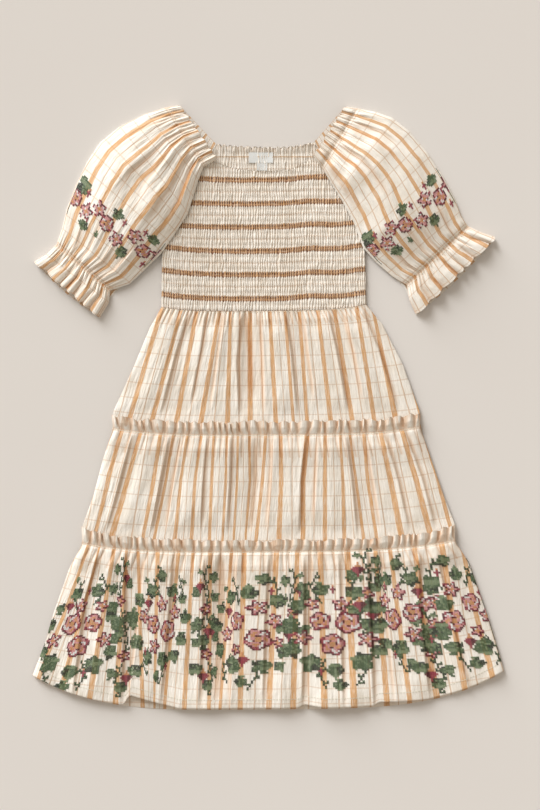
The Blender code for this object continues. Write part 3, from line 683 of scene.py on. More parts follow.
def sleeve(name, rings, seed, creases, columns_top, columns_under=50):
    """A puffed sleeve: over the top from the armhole to the outer fold and back beneath."""
    rng = np.random.default_rng(seed)
    count = len(rings)
    shares = []
    for number in range(count - 1):
        length = np.hypot(*(rings[number + 1, 2:4] - rings[number, 2:4]))
        steps = max(4, int(length / 1.6))
        shares.extend(number + np.arange(steps) / steps)
    shares = np.array(shares + [count - 1])
    table = np.array([np.interp(shares, np.arange(count), softened(rings[:, k], 1))
                      for k in range(rings.shape[1])]).T
    ends = np.array([np.interp(shares, np.arange(count), rings[:, k]) for k in range(2)]).T
    table[:, 0:2] = ends
    rows = len(shares)
    u = np.linspace(0, 1, columns_top)[None, :]
    v = (shares / (count - 1))[:, None]
    inner, fold, under = table[:, 0:2], table[:, 2:4], table[:, 4:6]
    bulge = np.sin(np.pi * u) ** 0.7
    x = inner[:, 0:1] + u * (fold[:, 0:1] - inner[:, 0:1])
    y = inner[:, 1:2] + u * (fold[:, 1:2] - inner[:, 1:2])
    casing = np.exp(-(((shares - 1.0) / 0.35) ** 2))[:, None]
    cuff = np.exp(-(((shares - (count - 3)) / 0.45) ** 2))[:, None]
    frill = np.clip(shares - (count - 2.6), 0, 1)[:, None]
    neck_frill = np.clip(0.8 - shares, 0, 1)[:, None]
    open_cloth = np.clip(1 - casing - cuff, 0, 1) * (1 - frill) * (1 - neck_frill)
    phase = edge_wave(rng, 10, columns_top)[None, :]
    neck_pull = np.exp(-np.clip(shares - 1.0, 0, 20) / 0.75)[:, None]
    cuff_pull = np.exp(-np.clip((count - 3) - shares, 0, 20) / 0.62)[:, None]
    wander = 0.35 * smooth_noise(rng, x.shape, (4, 14))
    puffs = ridge(phase + wander, 0.8)
    small = ridge(edge_wave(rng, 21, columns_top)[None, :] + wander, 0.9)
    gathers = 3.0 * puffs * np.clip(neck_pull + cuff_pull, 0, 1.0)
    gathers += 1.3 * small * np.clip(neck_pull + cuff_pull, 0, 1.0)
    height = np.zeros_like(x)
    foot_shade = np.zeros_like(x)
    for kind, depth, half, *line in creases:
        line = np.array(line, float)
        centre = np.interp(v[:, 0], line[:, 1], line[:, 0])[:, None]
        start, end = line[0, 1], line[-1, 1]
        inside = smooth_step((v - start + 0.05) / 0.10) * smooth_step((end - v + 0.08) / 0.16)
        d = (u - centre) / half
        if kind == "edge_l":
            d = -d
        if kind == "round":
            height += depth * np.exp(-d * d) * inside
        elif kind == "valley":
            height -= depth * np.exp(-np.abs(d) ** 1.4) * inside
            foot_shade = np.maximum(foot_shade, np.exp(-((d / 0.6) ** 2)) * inside)
        else:
            rise = np.exp(-np.minimum(-d, 8)) * (d <= 0)
            fall = np.exp(-((d / 0.22) ** 2)) * (d > 0)
            height += 0.62 * depth * (rise + fall) * inside
            foot_shade = np.maximum(foot_shade, 0.7 * np.exp(-(((d - 0.4) / 0.3) ** 2)) * inside)
    broad = 1.6 * smooth_noise(rng, x.shape, (5, 6)) + 0.45 * smooth_noise(rng, x.shape, (12, 30))
    slope = table[:, 6:7] + (BACK_Z + 0.3 - table[:, 6:7]) * u
    loft = table[:, 7:8] * bulge
    elastic = np.exp(-(((shares - (count - 3)) / 0.16) ** 2))[:, None]
    stitched = np.exp(-(((shares - 0.85) / 0.10) ** 2))[:, None]
    frill_phase = edge_wave(rng, 7, columns_top)[None, :]
    frill_phase = frill_phase + 0.25 * smooth_noise(rng, x.shape, (9, 9))
    frills = ridge(frill_phase, 0.7)
    neck_phase = edge_wave(rng, 7, columns_top)[None, :]
    neck_phase = neck_phase + 0.2 * smooth_noise(rng, x.shape, (12, 9))
    neck_puffs = ridge(neck_phase, 0.6)
    wave = casing * (1.6 * neck_puffs + 0.8 * small) + cuff * 1.2 * small
    wave = wave + frill * (1.2 + 3.8 * frills) + neck_frill * (0.8 + 3.2 * neck_puffs)
    wave = wave * (1 - 0.75 * elastic) * (1 - 0.6 * stitched)
    ends_fade = np.sqrt(np.clip(np.minimum(u, 1 - u) / 0.04, 0, 1))
    z = slope + loft + WALL + ends_fade * (
        open_cloth * (gathers + height + broad) + wave)
    z = z - 0.6 * u
    # Painted shade: darker at crease feet, in pulled gathers, between casing, cuff and frill puffs, and
    # along the elastic and stitched rows
    pull_shade = np.clip(neck_pull + cuff_pull, 0, 1) * (1 - small) ** 1.5
    shade = open_cloth * (foot_shade + 0.5 * pull_shade) + cuff * 0.7 * (1 - small) ** 1.5
    shade = shade + (casing + neck_frill) * (1 - neck_puffs) ** 1.5
    shade = shade + 0.9 * frill * (1 - frills) ** 1.5
    shade = np.clip(shade + 0.7 * elastic + 0.6 * stitched, 0, 1)
    way = np.gradient(0.5 * (inner + fold), axis=0)
    size = np.hypot(way[:, 0], way[:, 1])[:, None]
    way = way / size
    tip = np.clip(shares - (count - 2), 0, 1)[:, None] - np.clip(0.5 - shares, 0, 0.5)[:, None] * 2
    scallop = np.where(tip > 0, frills, neck_puffs) - 0.6
    x = x + way[:, 0:1] * tip * 2.6 * scallop
    y = y + way[:, 1:2] * tip * 2.6 * scallop
    back = np.linspace(0, 1, columns_under + 1)[None, 1:]
    xb = fold[:, 0:1] + back * (under[:, 0:1] - fold[:, 0:1])
    yb = fold[:, 1:2] + back * (under[:, 1:2] - fold[:, 1:2])
    reach = 3.5 * np.sin(np.pi * back) * (shares[:, None] > count - 1.6) * np.clip(
        shares[:, None] - (count - 2), 0, 1)
    xb = xb + way[:, 0:1] * reach
    yb = yb + way[:, 1:2] * reach
    zb = 0.25 + 0.35 * (1 + smooth_noise(rng, xb.shape, (9, 12)))
    s = 5.3 * u + 0.30 + 0.10 * smooth_noise(rng, x.shape, (5, 6)) * open_cloth
    s_back = 5.60 + 4.6 * back
    steps = np.hypot(*np.diff(0.5 * (inner + fold), axis=0).T)
    along = np.vstack([[[0.0]], np.cumsum(steps)[:, None]])
    t = along / CROSS_PITCH
    sheet = Sheet(
        name,
        np.hstack([x, xb]), np.hstack([y, yb]), np.hstack([z, zb]),
        np.hstack([s + 0 * x, s_back + 0 * xb]), np.hstack([t + 0 * x, t + 0 * xb]),
        np.hstack([shade, 0 * xb]))
    casings = (0.85, count - 3.1, count - 2.85)
    sheet.stitched_rows = [int(np.argmin(np.abs(shares - at))) for at in casings]
    return sheet


LEFT_SLEEVE_CREASES = (
    ("edge", 3.6, 0.09, (0.12, 0.10), (0.10, 0.34)),
    ("edge_l", 3.2, 0.08, (0.30, 0.10), (0.29, 0.46)),
    ("edge", 3.8, 0.09, (0.46, 0.10), (0.43, 0.38)),
    ("edge_l", 3.2, 0.08, (0.62, 0.10), (0.66, 0.42)),
    ("edge", 2.8, 0.08, (0.80, 0.12), (0.85, 0.30)),
    ("edge", 2.8, 0.07, (0.20, 0.60), (0.23, 0.84)),
    ("edge_l", 2.8, 0.07, (0.40, 0.66), (0.41, 0.84)),
    ("edge", 2.6, 0.07, (0.60, 0.58), (0.57, 0.84)),
    ("edge_l", 2.4, 0.07, (0.80, 0.66), (0.76, 0.84)),
    ("round", 2.8, 0.13, (0.33, 0.26), (0.30, 0.66)),
    ("round", 2.6, 0.12, (0.70, 0.26), (0.70, 0.66)),
)
RIGHT_SLEEVE_CREASES = (
    ("edge_l", 3.6, 0.09, (0.14, 0.10), (0.12, 0.40)),
    ("edge", 3.4, 0.08, (0.29, 0.10), (0.31, 0.34)),
    ("edge_l", 3.8, 0.09, (0.47, 0.10), (0.46, 0.46)),
    ("edge", 3.2, 0.08, (0.64, 0.10), (0.67, 0.36)),
    ("edge_l", 2.8, 0.08, (0.81, 0.12), (0.84, 0.34)),
    ("edge_l", 2.8, 0.07, (0.22, 0.64), (0.22, 0.84)),
    ("edge", 2.8, 0.07, (0.42, 0.58), (0.40, 0.84)),
    ("edge_l", 2.6, 0.07, (0.59, 0.66), (0.58, 0.84)),
    ("edge", 2.4, 0.07, (0.78, 0.60), (0.77, 0.84)),
    ("round", 2.6, 0.13, (0.30, 0.26), (0.31, 0.66)),
    ("round", 2.8, 0.12, (0.68, 0.26), (0.66, 0.66)),
)


# Materials

def rgb(red, green, blue):
    out = []
    for channel in (red, green, blue):
        value = channel / 255
        out.append(value / 12.92 if value <= 0.04045 else ((value + 0.055) / 1.055) ** 2.4)
    return (*out, 1.0)


class Nodes:
    """Short ways to add shader nodes and link them."""

    def __init__(self, name):
        self.material = bpy.data.materials.new(name)
        self.material.use_nodes = True
        self.tree = self.material.node_tree
        self.shader = self.tree.nodes["Principled BSDF"]

    def link(self, source, target):
        if isinstance(source, (int, float)):
            target.default_value = source
        elif isinstance(source, tuple):
            target.default_value = source
        else:
            self.tree.links.new(source, target)

    def math(self, kind, a, b=0.0, c=0.0):
        node = self.tree.nodes.new("ShaderNodeMath")
        node.operation = kind
        for value, socket in zip((a, b, c), node.inputs):
            self.link(value, socket)
        return node.outputs[0]

    def remap(self, value, low, high, to_low=0.0, to_high=1.0):
        node = self.tree.nodes.new("ShaderNodeMapRange")
        node.interpolation_type = "SMOOTHSTEP"
        for item, key in ((value, "Value"), (low, "From Min"), (high, "From Max"),
                          (to_low, "To Min"), (to_high, "To Max")):
            self.link(item, node.inputs[key])
        return node.outputs[0]

    def mix(self, share, a, b, kind="MIX"):
        node = self.tree.nodes.new("ShaderNodeMix")
        node.data_type = "RGBA"
        node.blend_type = kind
        self.link(share, node.inputs[0])
        self.link(a, node.inputs[6])
        self.link(b, node.inputs[7])
        return node.outputs[2]

    def uv(self):
        node = self.tree.nodes.new("ShaderNodeUVMap")
        node.uv_map = "Cloth"
        split = self.tree.nodes.new("ShaderNodeSeparateXYZ")
        self.tree.links.new(node.outputs[0], split.inputs[0])
        return node.outputs[0], split.outputs[0], split.outputs[1]

    def scaled(self, vector, x, y, z=1.0):
        node = self.tree.nodes.new("ShaderNodeMapping")
        self.tree.links.new(vector, node.inputs["Vector"])
        node.inputs["Scale"].default_value = (x, y, z)
        return node.outputs[0]

    def noise(self, vector, scale, detail=2.0, rough=0.5):
        node = self.tree.nodes.new("ShaderNodeTexNoise")
        self.tree.links.new(vector, node.inputs["Vector"])
        node.inputs["Scale"].default_value = scale
        node.inputs["Detail"].default_value = detail
        node.inputs["Roughness"].default_value = rough
        return node.outputs["Fac"]

    def place(self):
        node = self.tree.nodes.new("ShaderNodeTexCoord")
        return node.outputs["Object"]

    def attribute(self, name):
        node = self.tree.nodes.new("ShaderNodeAttribute")
        node.attribute_name = name
        return node.outputs["Fac"]

    def bump(self, height, strength, distance, normal=None):
        node = self.tree.nodes.new("ShaderNodeBump")
        node.inputs["Strength"].default_value = strength
        node.inputs["Distance"].default_value = distance
        self.tree.links.new(height, node.inputs["Height"])
        if normal is not None:
            self.tree.links.new(normal, node.inputs["Normal"])
        return node.outputs[0]


def away_from_whole(nodes, value):
    """Distance from the nearest whole number."""
    return nodes.math("ABSOLUTE", nodes.math("SUBTRACT", value, nodes.math("ROUND", value)))


CREAM = rgb(249, 244, 235)
CREAM_LOW = rgb(241, 233, 220)
TAN = rgb(226, 180, 128)
TAN_DARK = rgb(206, 152, 96)
# Warm tint of the painted shade in creases, valleys and gaps
PAINTED_SHADE_TINT = rgb(214, 164, 108)


def checked_cotton(name, wide=0.104, cross=0.42, thin=0.62, shade=0.55, tan=TAN, dark=TAN_DARK,
                   crinkle=(9.0, 0.9), smocked=False):
    """Cream cotton with wide stripes, thin lines between them and thin lines across, with painted warm
    shade where the mesh's shade attribute is high.
    """
    nodes = Nodes(name)
    vector, s, t = nodes.uv()
    place = nodes.place()
    fibre = nodes.noise(nodes.scaled(vector, 46, 3.0), 6.0, 3.0, 0.6)
    fibre_cross = nodes.noise(nodes.scaled(vector, 3.0, 46), 6.0, 3.0, 0.6)
    wander = nodes.math("SUBTRACT", nodes.noise(vector, 2.2, 2.0), 0.5)
    wander = nodes.math("MULTIPLY", wander, 0.035)
    s_soft = nodes.math("ADD", s, wander)
    t_soft = nodes.math("ADD", t, nodes.math("MULTIPLY", wander, 0.8))
    near = away_from_whole(nodes, s_soft)
    ragged = nodes.math("MULTIPLY", nodes.math("SUBTRACT", fibre, 0.5), 0.05)
    broad = nodes.remap(nodes.math("ADD", near, ragged), wide - 0.012, wide + 0.016, 1.0, 0.0)
    half = away_from_whole(nodes, nodes.math("ADD", s_soft, 0.5))
    line = nodes.remap(half, 0.018, 0.034, thin, 0.0)
    cross_near = away_from_whole(nodes, t_soft)
    across = nodes.remap(cross_near, 0.026, 0.055, cross, 0.0)
    across = nodes.math("MULTIPLY", across, nodes.remap(fibre_cross, 0.30, 0.62, 0.45, 1.0))
    cream = nodes.mix(nodes.remap(nodes.noise(place, 60.0, 3.0), 0.3, 0.7), CREAM_LOW, CREAM)
    # Painted shade: the shade attribute is high in crease feet, rib valleys and gaps between puffs
    painted_shade = nodes.attribute("shade")
    stripe = nodes.mix(nodes.remap(fibre, 0.35, 0.65), dark, tan)
    if smocked:
        # Painted shade: stripes go dark brown in the valleys between ribs
        rib_valley_shade = nodes.remap(painted_shade, 0.02, 0.26)
        rib_valley_shade = nodes.math("MULTIPLY", rib_valley_shade, nodes.remap(near, 0.012, 0.036, 0.25, 1.0))
        stripe = nodes.mix(rib_valley_shade, tan, dark)
    streaks = nodes.noise(nodes.scaled(vector, 16.0, 0.7), 2.0, 2.0)
    amount = nodes.math("MULTIPLY", broad, nodes.remap(streaks, 0.30, 0.60, 0.60, 0.97))
    left = nodes.math("SUBTRACT", 1.0, nodes.attribute("pale"))
    amount = nodes.math("MULTIPLY", amount, left)
    colour = nodes.mix(amount, cream, stripe)
    lines = nodes.math("MULTIPLY", nodes.math("MAXIMUM", line, across), left)
    colour = nodes.mix(lines, colour, rgb(200, 158, 116))
    # Painted shade: the colour is multiplied towards the warm tint where the shade attribute is high
    colour = nodes.mix(nodes.math("MULTIPLY", painted_shade, shade), colour, PAINTED_SHADE_TINT, "MULTIPLY")
    nodes.link(colour, nodes.shader.inputs["Base Color"])
    crinkles = nodes.noise(nodes.scaled(vector, crinkle[0], crinkle[1]), 1.0, 3.0, 0.55)
    weave = nodes.noise(nodes.scaled(vector, 1.0, 1.0), 60.0, 1.0)
    slub = nodes.math("ADD", nodes.math("MULTIPLY", fibre, 0.6), nodes.math("MULTIPLY", weave, 0.4))
    first = nodes.bump(crinkles, 0.75, 0.0016)
    normal = nodes.bump(slub, 0.35, 0.0003, first)
    nodes.link(normal, nodes.shader.inputs["Normal"])
    nodes.shader.inputs["Roughness"].default_value = 0.88
    nodes.shader.inputs["Specular IOR Level"].default_value = 0.25
    nodes.shader.inputs["Sheen Weight"].default_value = 0.12
    nodes.shader.inputs["Sheen Roughness"].default_value = 0.6
    return nodes.material


def tape_material():
    nodes = Nodes("label_tape")
    vector, s, t = nodes.uv()
    threads = nodes.noise(nodes.scaled(vector, 8.0, 60.0), 1.0, 2.0)
    colour = nodes.mix(threads, rgb(224, 226, 224), rgb(238, 240, 239))
    nodes.link(colour, nodes.shader.inputs["Base Color"])
    nodes.link(nodes.bump(threads, 0.4, 0.0002), nodes.shader.inputs["Normal"])
    nodes.shader.inputs["Roughness"].default_value = 0.6
    nodes.shader.inputs["Sheen Weight"].default_value = 0.1
    return nodes.material


THREADS = {
    "B": ("burgundy", (98, 20, 38)), "R": ("rose", (158, 58, 76)), "P": ("pink", (220, 158, 158)),
    "O": ("gold", (214, 152, 104)), "D": ("dark_green", (34, 50, 30)),
    "G": ("mid_green", (72, 98, 62)), "S": ("grey_green", (124, 142, 106)),
    "W": ("white", (244, 238, 230)), "C": ("cream", (240, 228, 208)), "N": ("tan", (206, 158, 108)),
}


def thread_material(key):
    word, colour = THREADS[key]
    nodes = Nodes("thread_" + word)
    place = nodes.place()
    streak = nodes.noise(place, 900.0, 2.0)
    low = rgb(*[max(0, c * 0.80) for c in colour])
    high = rgb(*[min(255, c * 1.12) for c in colour])
    nodes.link(nodes.mix(streak, low, high), nodes.shader.inputs["Base Color"])
    nodes.link(nodes.bump(streak, 0.5, 0.0002), nodes.shader.inputs["Normal"])
    nodes.shader.inputs["Roughness"].default_value = 0.55
    nodes.shader.inputs["Sheen Weight"].default_value = 0.15
    return nodes.material


MATERIALS = {}


def material(key, maker, *args, **options):
    if key not in MATERIALS:
        MATERIALS[key] = maker(*args, **options)
    return MATERIALS[key]


# Embroidery: a generic border of roses and leaves in cross-stitch, on a grid of cells

CELL = 1.8
HEM_ROWS = 3
SEAM_ROW = 17
SLEEVE_COLUMNS = 190
STITCH_POINTS = ((-0.46, -0.46), (0.46, -0.46), (0.46, 0.46), (-0.46, 0.46), (0.0, 0.0))

# Each bouquet: what, then its place in cells from the bouquet's middle and its sizes.
# leaf: x, y, direction in degrees, radius; rose, bloom, bud: x, y, radius; spray: points
BOUQUET_A = (
    ("spray", (-6, 12), (-10, 19), (-7, 26)), ("spray", (5, 14), (10, 22), (7, 29)),
    ("spray", (-8, -14), (-12, -21), (-8, -27)), ("spray", (4, -14), (7, -21), (4, -28)),
    ("leaf", -18, 3, 180, 4), ("leaf", 18, 4, 10, 4), ("leaf", -10, -14, 225, 5),
    ("leaf", 9, -15, 300, 5), ("leaf", 0, -18, 270, 4), ("leaf", -17, -9, 205, 4),
    ("leaf", 17, -9, 335, 4), ("leaf", -8, 18, 120, 4), ("leaf", 5, 20, 70, 4),
    ("leaf", 15, 12, 40, 4), ("leaf", -16, 11, 150, 3), ("leaf", -2, -26, 265, 3),
    ("leaf", 13, 21, 60, 3), ("leaf", -12, 26, 110, 2),
    ("bloom", -13, -4, 4), ("bloom", 13, -3, 4), ("bloom", -3, 13, 4), ("bloom", 9, 13, 3),
    ("rose", -6, 4, 6), ("rose", 6, 5, 5), ("rose", 1, -7, 6),
    ("bud", -11, 13, 3), ("bud", 6, -20, 2), ("bud", 0, 21, 2),
)
BOUQUET_B = (
    ("spray", (0, 13), (4, 20), (1, 28)), ("spray", (-9, 10), (-14, 17), (-11, 24)),
    ("spray", (0, -14), (-5, -21), (-2, -29)), ("spray", (9, -12), (14, -19), (11, -25)),
    ("leaf", -17, 3, 170, 4), ("leaf", -15, -7, 210, 4), ("leaf", -7, 16, 115, 4),
    ("leaf", 6, 16, 65, 4), ("leaf", 18, 4, 15, 4), ("leaf", 16, -8, 335, 4),
    ("leaf", -3, -17, 265, 5), ("leaf", 9, -16, 300, 4), ("leaf", -14, 12, 140, 3),
    ("leaf", 0, 23, 85, 3), ("leaf", -11, -15, 235, 4), ("leaf", 14, 12, 45, 4),
    ("leaf", 9, 22, 60, 2), ("leaf", 2, -25, 280, 3), ("leaf", -15, 21, 120, 2),
    ("bloom", -10, 6, 4), ("bloom", 12, 4, 4), ("bloom", 4, -11, 4), ("bloom", -1, 10, 4),
    ("rose", -6, -3, 6), ("rose", 5, 0, 5), ("bud", 8, 11, 3), ("bud", -9, 13, 2),
    ("bud", 12, -13, 2), ("bud", -7, -21, 2),
)
BOUQUET_C = (
    ("spray", (-4, 13), (-6, 20), (-10, 27)), ("spray", (8, 12), (12, 19), (10, 27)),
    ("spray", (-8, -12), (-13, -19), (-10, -26)), ("spray", (3, -15), (5, -22), (2, -29)),
    ("leaf", -18, 2, 175, 4), ("leaf", -10, 16, 125, 4), ("leaf", 1, 18, 90, 4),
    ("leaf", 12, 14, 50, 4), ("leaf", 18, 2, 5, 4), ("leaf", -16, -9, 205, 4),
    ("leaf", 16, -9, 330, 4), ("leaf", -6, -16, 250, 5), ("leaf", 7, -17, 290, 4),
    ("leaf", 6, 25, 70, 3), ("leaf", -17, 11, 150, 3), ("leaf", 14, -17, 310, 3),
    ("leaf", -2, -24, 265, 3), ("leaf", -15, 21, 130, 2),
    ("bloom", -12, -2, 4), ("bloom", 12, 5, 4), ("bloom", -5, -9, 3), ("bloom", 4, 12, 4),
    ("rose", -5, 5, 5), ("rose", 5, -4, 6), ("bloom", 13, -6, 3),
    ("bud", -12, 10, 3), ("bud", -1, -14, 3), ("bud", 9, 20, 2),
)
SPRIG = (
    ("spray", (0, -2), (-2, 8), (1, 16), (-1, 22)), ("spray", (1, -4), (3, -12), (1, -20)),
    ("leaf", -5, 6, 140, 3), ("leaf", 5, 8, 45, 3), ("leaf", -4, 15, 120, 3),
    ("leaf", 5, -8, 310, 3), ("leaf", -5, -7, 225, 4), ("leaf", 3, 18, 60, 2),
    ("leaf", 1, -15, 270, 3), ("bloom", 0, 0, 3), ("bud", 3, 12, 3), ("bud", -2, -11, 3),
)
# bouquet, x and y pixels of its middle, and whether it is turned over
SKIRT_BOUQUETS = (
    (BOUQUET_A, 82, 632, False), (BOUQUET_B, 160, 624, True), (BOUQUET_C, 246, 630, False),
    (BOUQUET_A, 334, 630, True), (BOUQUET_B, 400, 612, False), (BOUQUET_C, 460, 612, True),
    (SPRIG, 122, 600, False), (SPRIG, 206, 608, True), (SPRIG, 292, 612, False),
    (SPRIG, 368, 592, True), (SPRIG, 430, 652, False), (SPRIG, 206, 654, False),
    (SPRIG, 124, 656, True),
)
BACK_BOUQUETS = (
    (BOUQUET_C, 92, 626, False), (BOUQUET_A, 176, 628, True), (BOUQUET_B, 262, 632, False),
    (BOUQUET_C, 350, 630, True), (BOUQUET_A, 440, 622, False),
)
SLEEVE_BAND = (
    ("spray", (-30, 0), (-33, 5), (-30, 9)), ("spray", (29, 0), (33, -5), (30, -9)),
    ("leaf", -20, 7, 80, 3), ("leaf", -11, -7, 270, 3), ("leaf", 1, 7, 100, 3),
    ("leaf", 14, -7, 280, 3), ("leaf", 22, 6, 60, 4), ("leaf", -28, -5, 230, 3),
    ("leaf", 31, 1, 20, 3), ("leaf", 6, -7, 250, 2),
    ("bloom", -27, 2, 4), ("rose", -19, -1, 4), ("bloom", -12, 3, 4), ("bloom", -5, -3, 4),
    ("rose", 3, 0, 4), ("bloom", 10, 3, 4), ("bloom", 16, -2, 4), ("rose", 24, 0, 4),
    ("bud", -15, 8, 2), ("bud", -4, 6, 2), ("bud", 18, 6, 2), ("bud", -23, -7, 2),
)


def stitch_leaf(cells, x, y, turn, radius):
    """A leaf with five lobes, the longest one ahead, and pale veins."""
    heading = math.radians(turn)
    for i in range(-radius - 2, radius + 3):
        for j in range(-radius - 2, radius + 3):
            angle = math.atan2(j, i) - heading
            distance = math.hypot(i, j)
            lobe = math.cos(2.5 * angle) ** 2
            edge = radius * (0.76 + 0.24 * lobe) * (0.96 + 0.30 * math.cos(angle))
            if distance > edge:
                continue
            vein = abs(math.sin(2.5 * angle)) * distance < 0.70 and distance < 0.75 * edge
            chance = (i * 7 + j * 13 + x * 3) % 7
            if distance > edge - 0.9 and chance == 0:
                continue
            if vein and distance > 0.5:
                key = "S"
            elif (i * math.cos(heading + 1.2) + j * math.sin(heading + 1.2)) < -0.4:
                key = "D" if chance < 4 else "G"
            else:
                key = "G" if chance < 5 else "S"
            cells[(x + i, y + j)] = key


def stitch_rose(cells, x, y, radius):
    """An open rose: rings of curled petals round a gold heart."""
    for i in range(-radius, radius + 1):
        for j in range(-radius, radius + 1):
            distance = math.hypot(i, j)
            angle = math.atan2(j, i) + 0.7 * x
            edge = radius * (0.92 + 0.08 * math.cos(5 * angle))
            if distance > edge:
                continue
            share = distance / edge
            curl = math.cos(3 * angle + 5.0 * share)
            if share < 0.26:
                key = "O" if (i + j) % 3 else "N"
            elif share < 0.42:
                key = "B" if curl > 0.1 else "P"
            elif share < 0.66:
                key = "P" if curl > -0.3 else "O"
            elif share < 0.84:
                key = "R" if curl > -0.2 else "P"
            else:
                key = "B" if math.cos(5 * angle) < 0.8 else "R"
            if 0.40 < share < 0.80 and curl > 0.72:
                key = "W"
            cells[(x + i, y + j)] = key


def stitch_bloom(cells, x, y, radius):
    """A small round flower with five petals and a gold eye."""
    for i in range(-radius, radius + 1):
        for j in range(-radius, radius + 1):
            distance = math.hypot(i, j)
            angle = math.atan2(j, i)
            edge = radius * (0.80 + 0.22 * math.cos(5 * angle + 0.6 * x))
            if distance > edge:
                continue
            if distance < 1.2:
                key = "O"
            elif distance < edge - 1.3:
                key = "P" if (i * 3 + j * 5) % 4 else "W"
            else:
                key = "B" if math.cos(5 * angle + 0.6 * x) < 0.75 else "R"
            cells[(x + i, y + j)] = key


def stitch_bud(cells, x, y, radius):
    for i in range(-radius, radius + 1):
        for j in range(-radius, radius + 1):
            if abs(i) * 1.3 + abs(j) > radius:
                continue
            cells[(x + i, y + j)] = "O" if j > 1 else ("B" if i < 0 else "R")


def stitch_spray(cells, points):
    """A thin stem that wanders through its points, with small leaves in pairs."""
    for (x0, y0), (x1, y1) in zip(points, points[1:]):
        count = max(abs(x1 - x0), abs(y1 - y0))
        for step in range(count + 1):
            x = round(x0 + (x1 - x0) * step / count)
            y = round(y0 + (y1 - y0) * step / count)
            cells[(x, y)] = "D" if step % 3 else "G"
            if step % 4 == 2:
                side = 1 if step % 8 == 2 else -1
                for reach in (1, 2):
                    cells[(x + side * reach, y + (reach == 2))] = "G"
                cells[(x + side * 2, y)] = "D"


GROW = 1.2
MOTIFS = {
    "leaf": stitch_leaf, "rose": stitch_rose, "bloom": stitch_bloom, "bud": stitch_bud,
}


def chart(motifs, flipped=False):
    """Cells of a bouquet, from its motifs in order."""
    cells = {}
    for kind, *rest in motifs:
        if kind == "spray":
            stitch_spray(cells, [(round(x * GROW), round(y * GROW)) for x, y in rest])
        else:
            x, y, *sizes = rest
            sizes[-1] = round(sizes[-1] * GROW)
            MOTIFS[kind](cells, round(x * GROW), round(y * GROW), *sizes)
    if flipped:
        cells = {(-x, y): key for (x, y), key in cells.items()}
    return cells


def sampled(values, r, c):
    """Values of a grid at fractional rows and columns."""
    r = np.clip(r, 0, values.shape[0] - 1.001)
    c = np.clip(c, 0, values.shape[1] - 1.001)
    r0, c0 = np.floor(r).astype(int), np.floor(c).astype(int)
    fr, fc = r - r0, c - c0
    if values.ndim == 3:
        fr, fc = fr[..., None], fc[..., None]
    upper = values[r0, c0] * (1 - fc) + values[r0, c0 + 1] * fc
    lower = values[r0 + 1, c0] * (1 - fc) + values[r0 + 1, c0 + 1] * fc
    return upper * (1 - fr) + lower * fr


def sampled_row(values, r):
    low = min(int(r), values.shape[0] - 2)
    return values[low] + (r - low) * (values[low + 1] - values[low])


def place_on_tier(sheet, s, y):
    """Fractional rows and columns of cloth places (s, y) on a tier."""
    columns = np.arange(sheet.x.shape[1])
    rows = np.arange(sheet.x.shape[0] - HEM_ROWS)
    down = -sheet.y[:len(rows)]
    r = np.empty_like(s)
    c = np.empty_like(s)
    for k in range(len(s)):
        row_at = np.interp(-y[k], down[:, columns[-1] // 2], rows)
        col = 0.0
        for _ in range(3):
            line = sampled_row(sheet.s, row_at)
            col = np.interp(s[k], line, columns)
            row_at = np.interp(-y[k], down[:, int(col)], rows)
        r[k], c[k] = row_at, col
    return r, c


def thread_mesh(name, corners, keys, lift, width, under=False, clear=0.25):
    """Two crossing threads for each stitch, from its four corners on the cloth."""
    used = sorted(set(keys))
    slots = {key: number for number, key in enumerate(used)}
    a, b, c, d, centre = [corners[:, k] for k in range(5)]
    points = []
    up = np.array((0.0, 0.0, -1.0 if under else 1.0))
    cell = 0.5 * (np.linalg.norm(b - a, axis=1) + np.linalg.norm(d - a, axis=1))
    wide = (width * np.clip(cell, 0.7 * CELL, 1.6 * CELL))[:, None]
    ridges = ((-0.5, 0.2), (0.5, 0.2)) if under else ((-0.5, 0.2), (0.0, 1.0), (0.5, 0.2))
    for start, end, extra in ((a, c, 0.0), (b, d, 0.18)):
        run = end - start
        run = run / (np.linalg.norm(run, axis=1, keepdims=True) + 1e-9)
        side = np.stack([-run[:, 1], run[:, 0], np.zeros(len(run))], axis=1)
        side = side / (np.linalg.norm(side, axis=1, keepdims=True) + 1e-9)
        stops = ((start, 0.0), (centre, 1.0), (end, 0.0))
        if under:
            stops = ((start, 0.0), (end, 0.0))
        for middle, rise in stops:
            for across, high in ridges:
                top = lift * high * (0.4 + 0.6 * rise) + extra * rise + clear
                points.append(middle + side * across * wide + up * top)
    points = np.stack(points, axis=1)
    count = len(points)
    lines = len(ridges)
    each = 2 * lines * lines
    faces = []
    for thread in (0, lines * lines):
        for r in range(lines - 1):
            for q in range(lines - 1):
                at = thread + r * lines + q
                faces.append((at, at + 1, at + lines + 1, at + lines))
    faces = np.array(faces)
    quads = (np.arange(count)[:, None, None] * each + faces[None]).reshape(-1, 4)
    mesh = bpy.data.meshes.new(name)
    mesh.vertices.add(count * each)
    mesh.vertices.foreach_set("co", (points.reshape(-1, 3) * MM).reshape(-1))
    mesh.loops.add(quads.size)
    mesh.loops.foreach_set("vertex_index", quads.reshape(-1))
    mesh.polygons.add(len(quads))
    mesh.polygons.foreach_set("loop_start", np.arange(len(quads)) * 4)
    mesh.polygons.foreach_set("material_index", np.repeat([slots[key] for key in keys], len(faces)))
    mesh.update(calc_edges=True)
    mesh.shade_smooth()
    for key in used:
        mesh.materials.append(material("thread_" + key, thread_material, key))
    item = bpy.data.objects.new(name, mesh)
    bpy.context.scene.collection.objects.link(item)
    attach(item, "root")
    return item


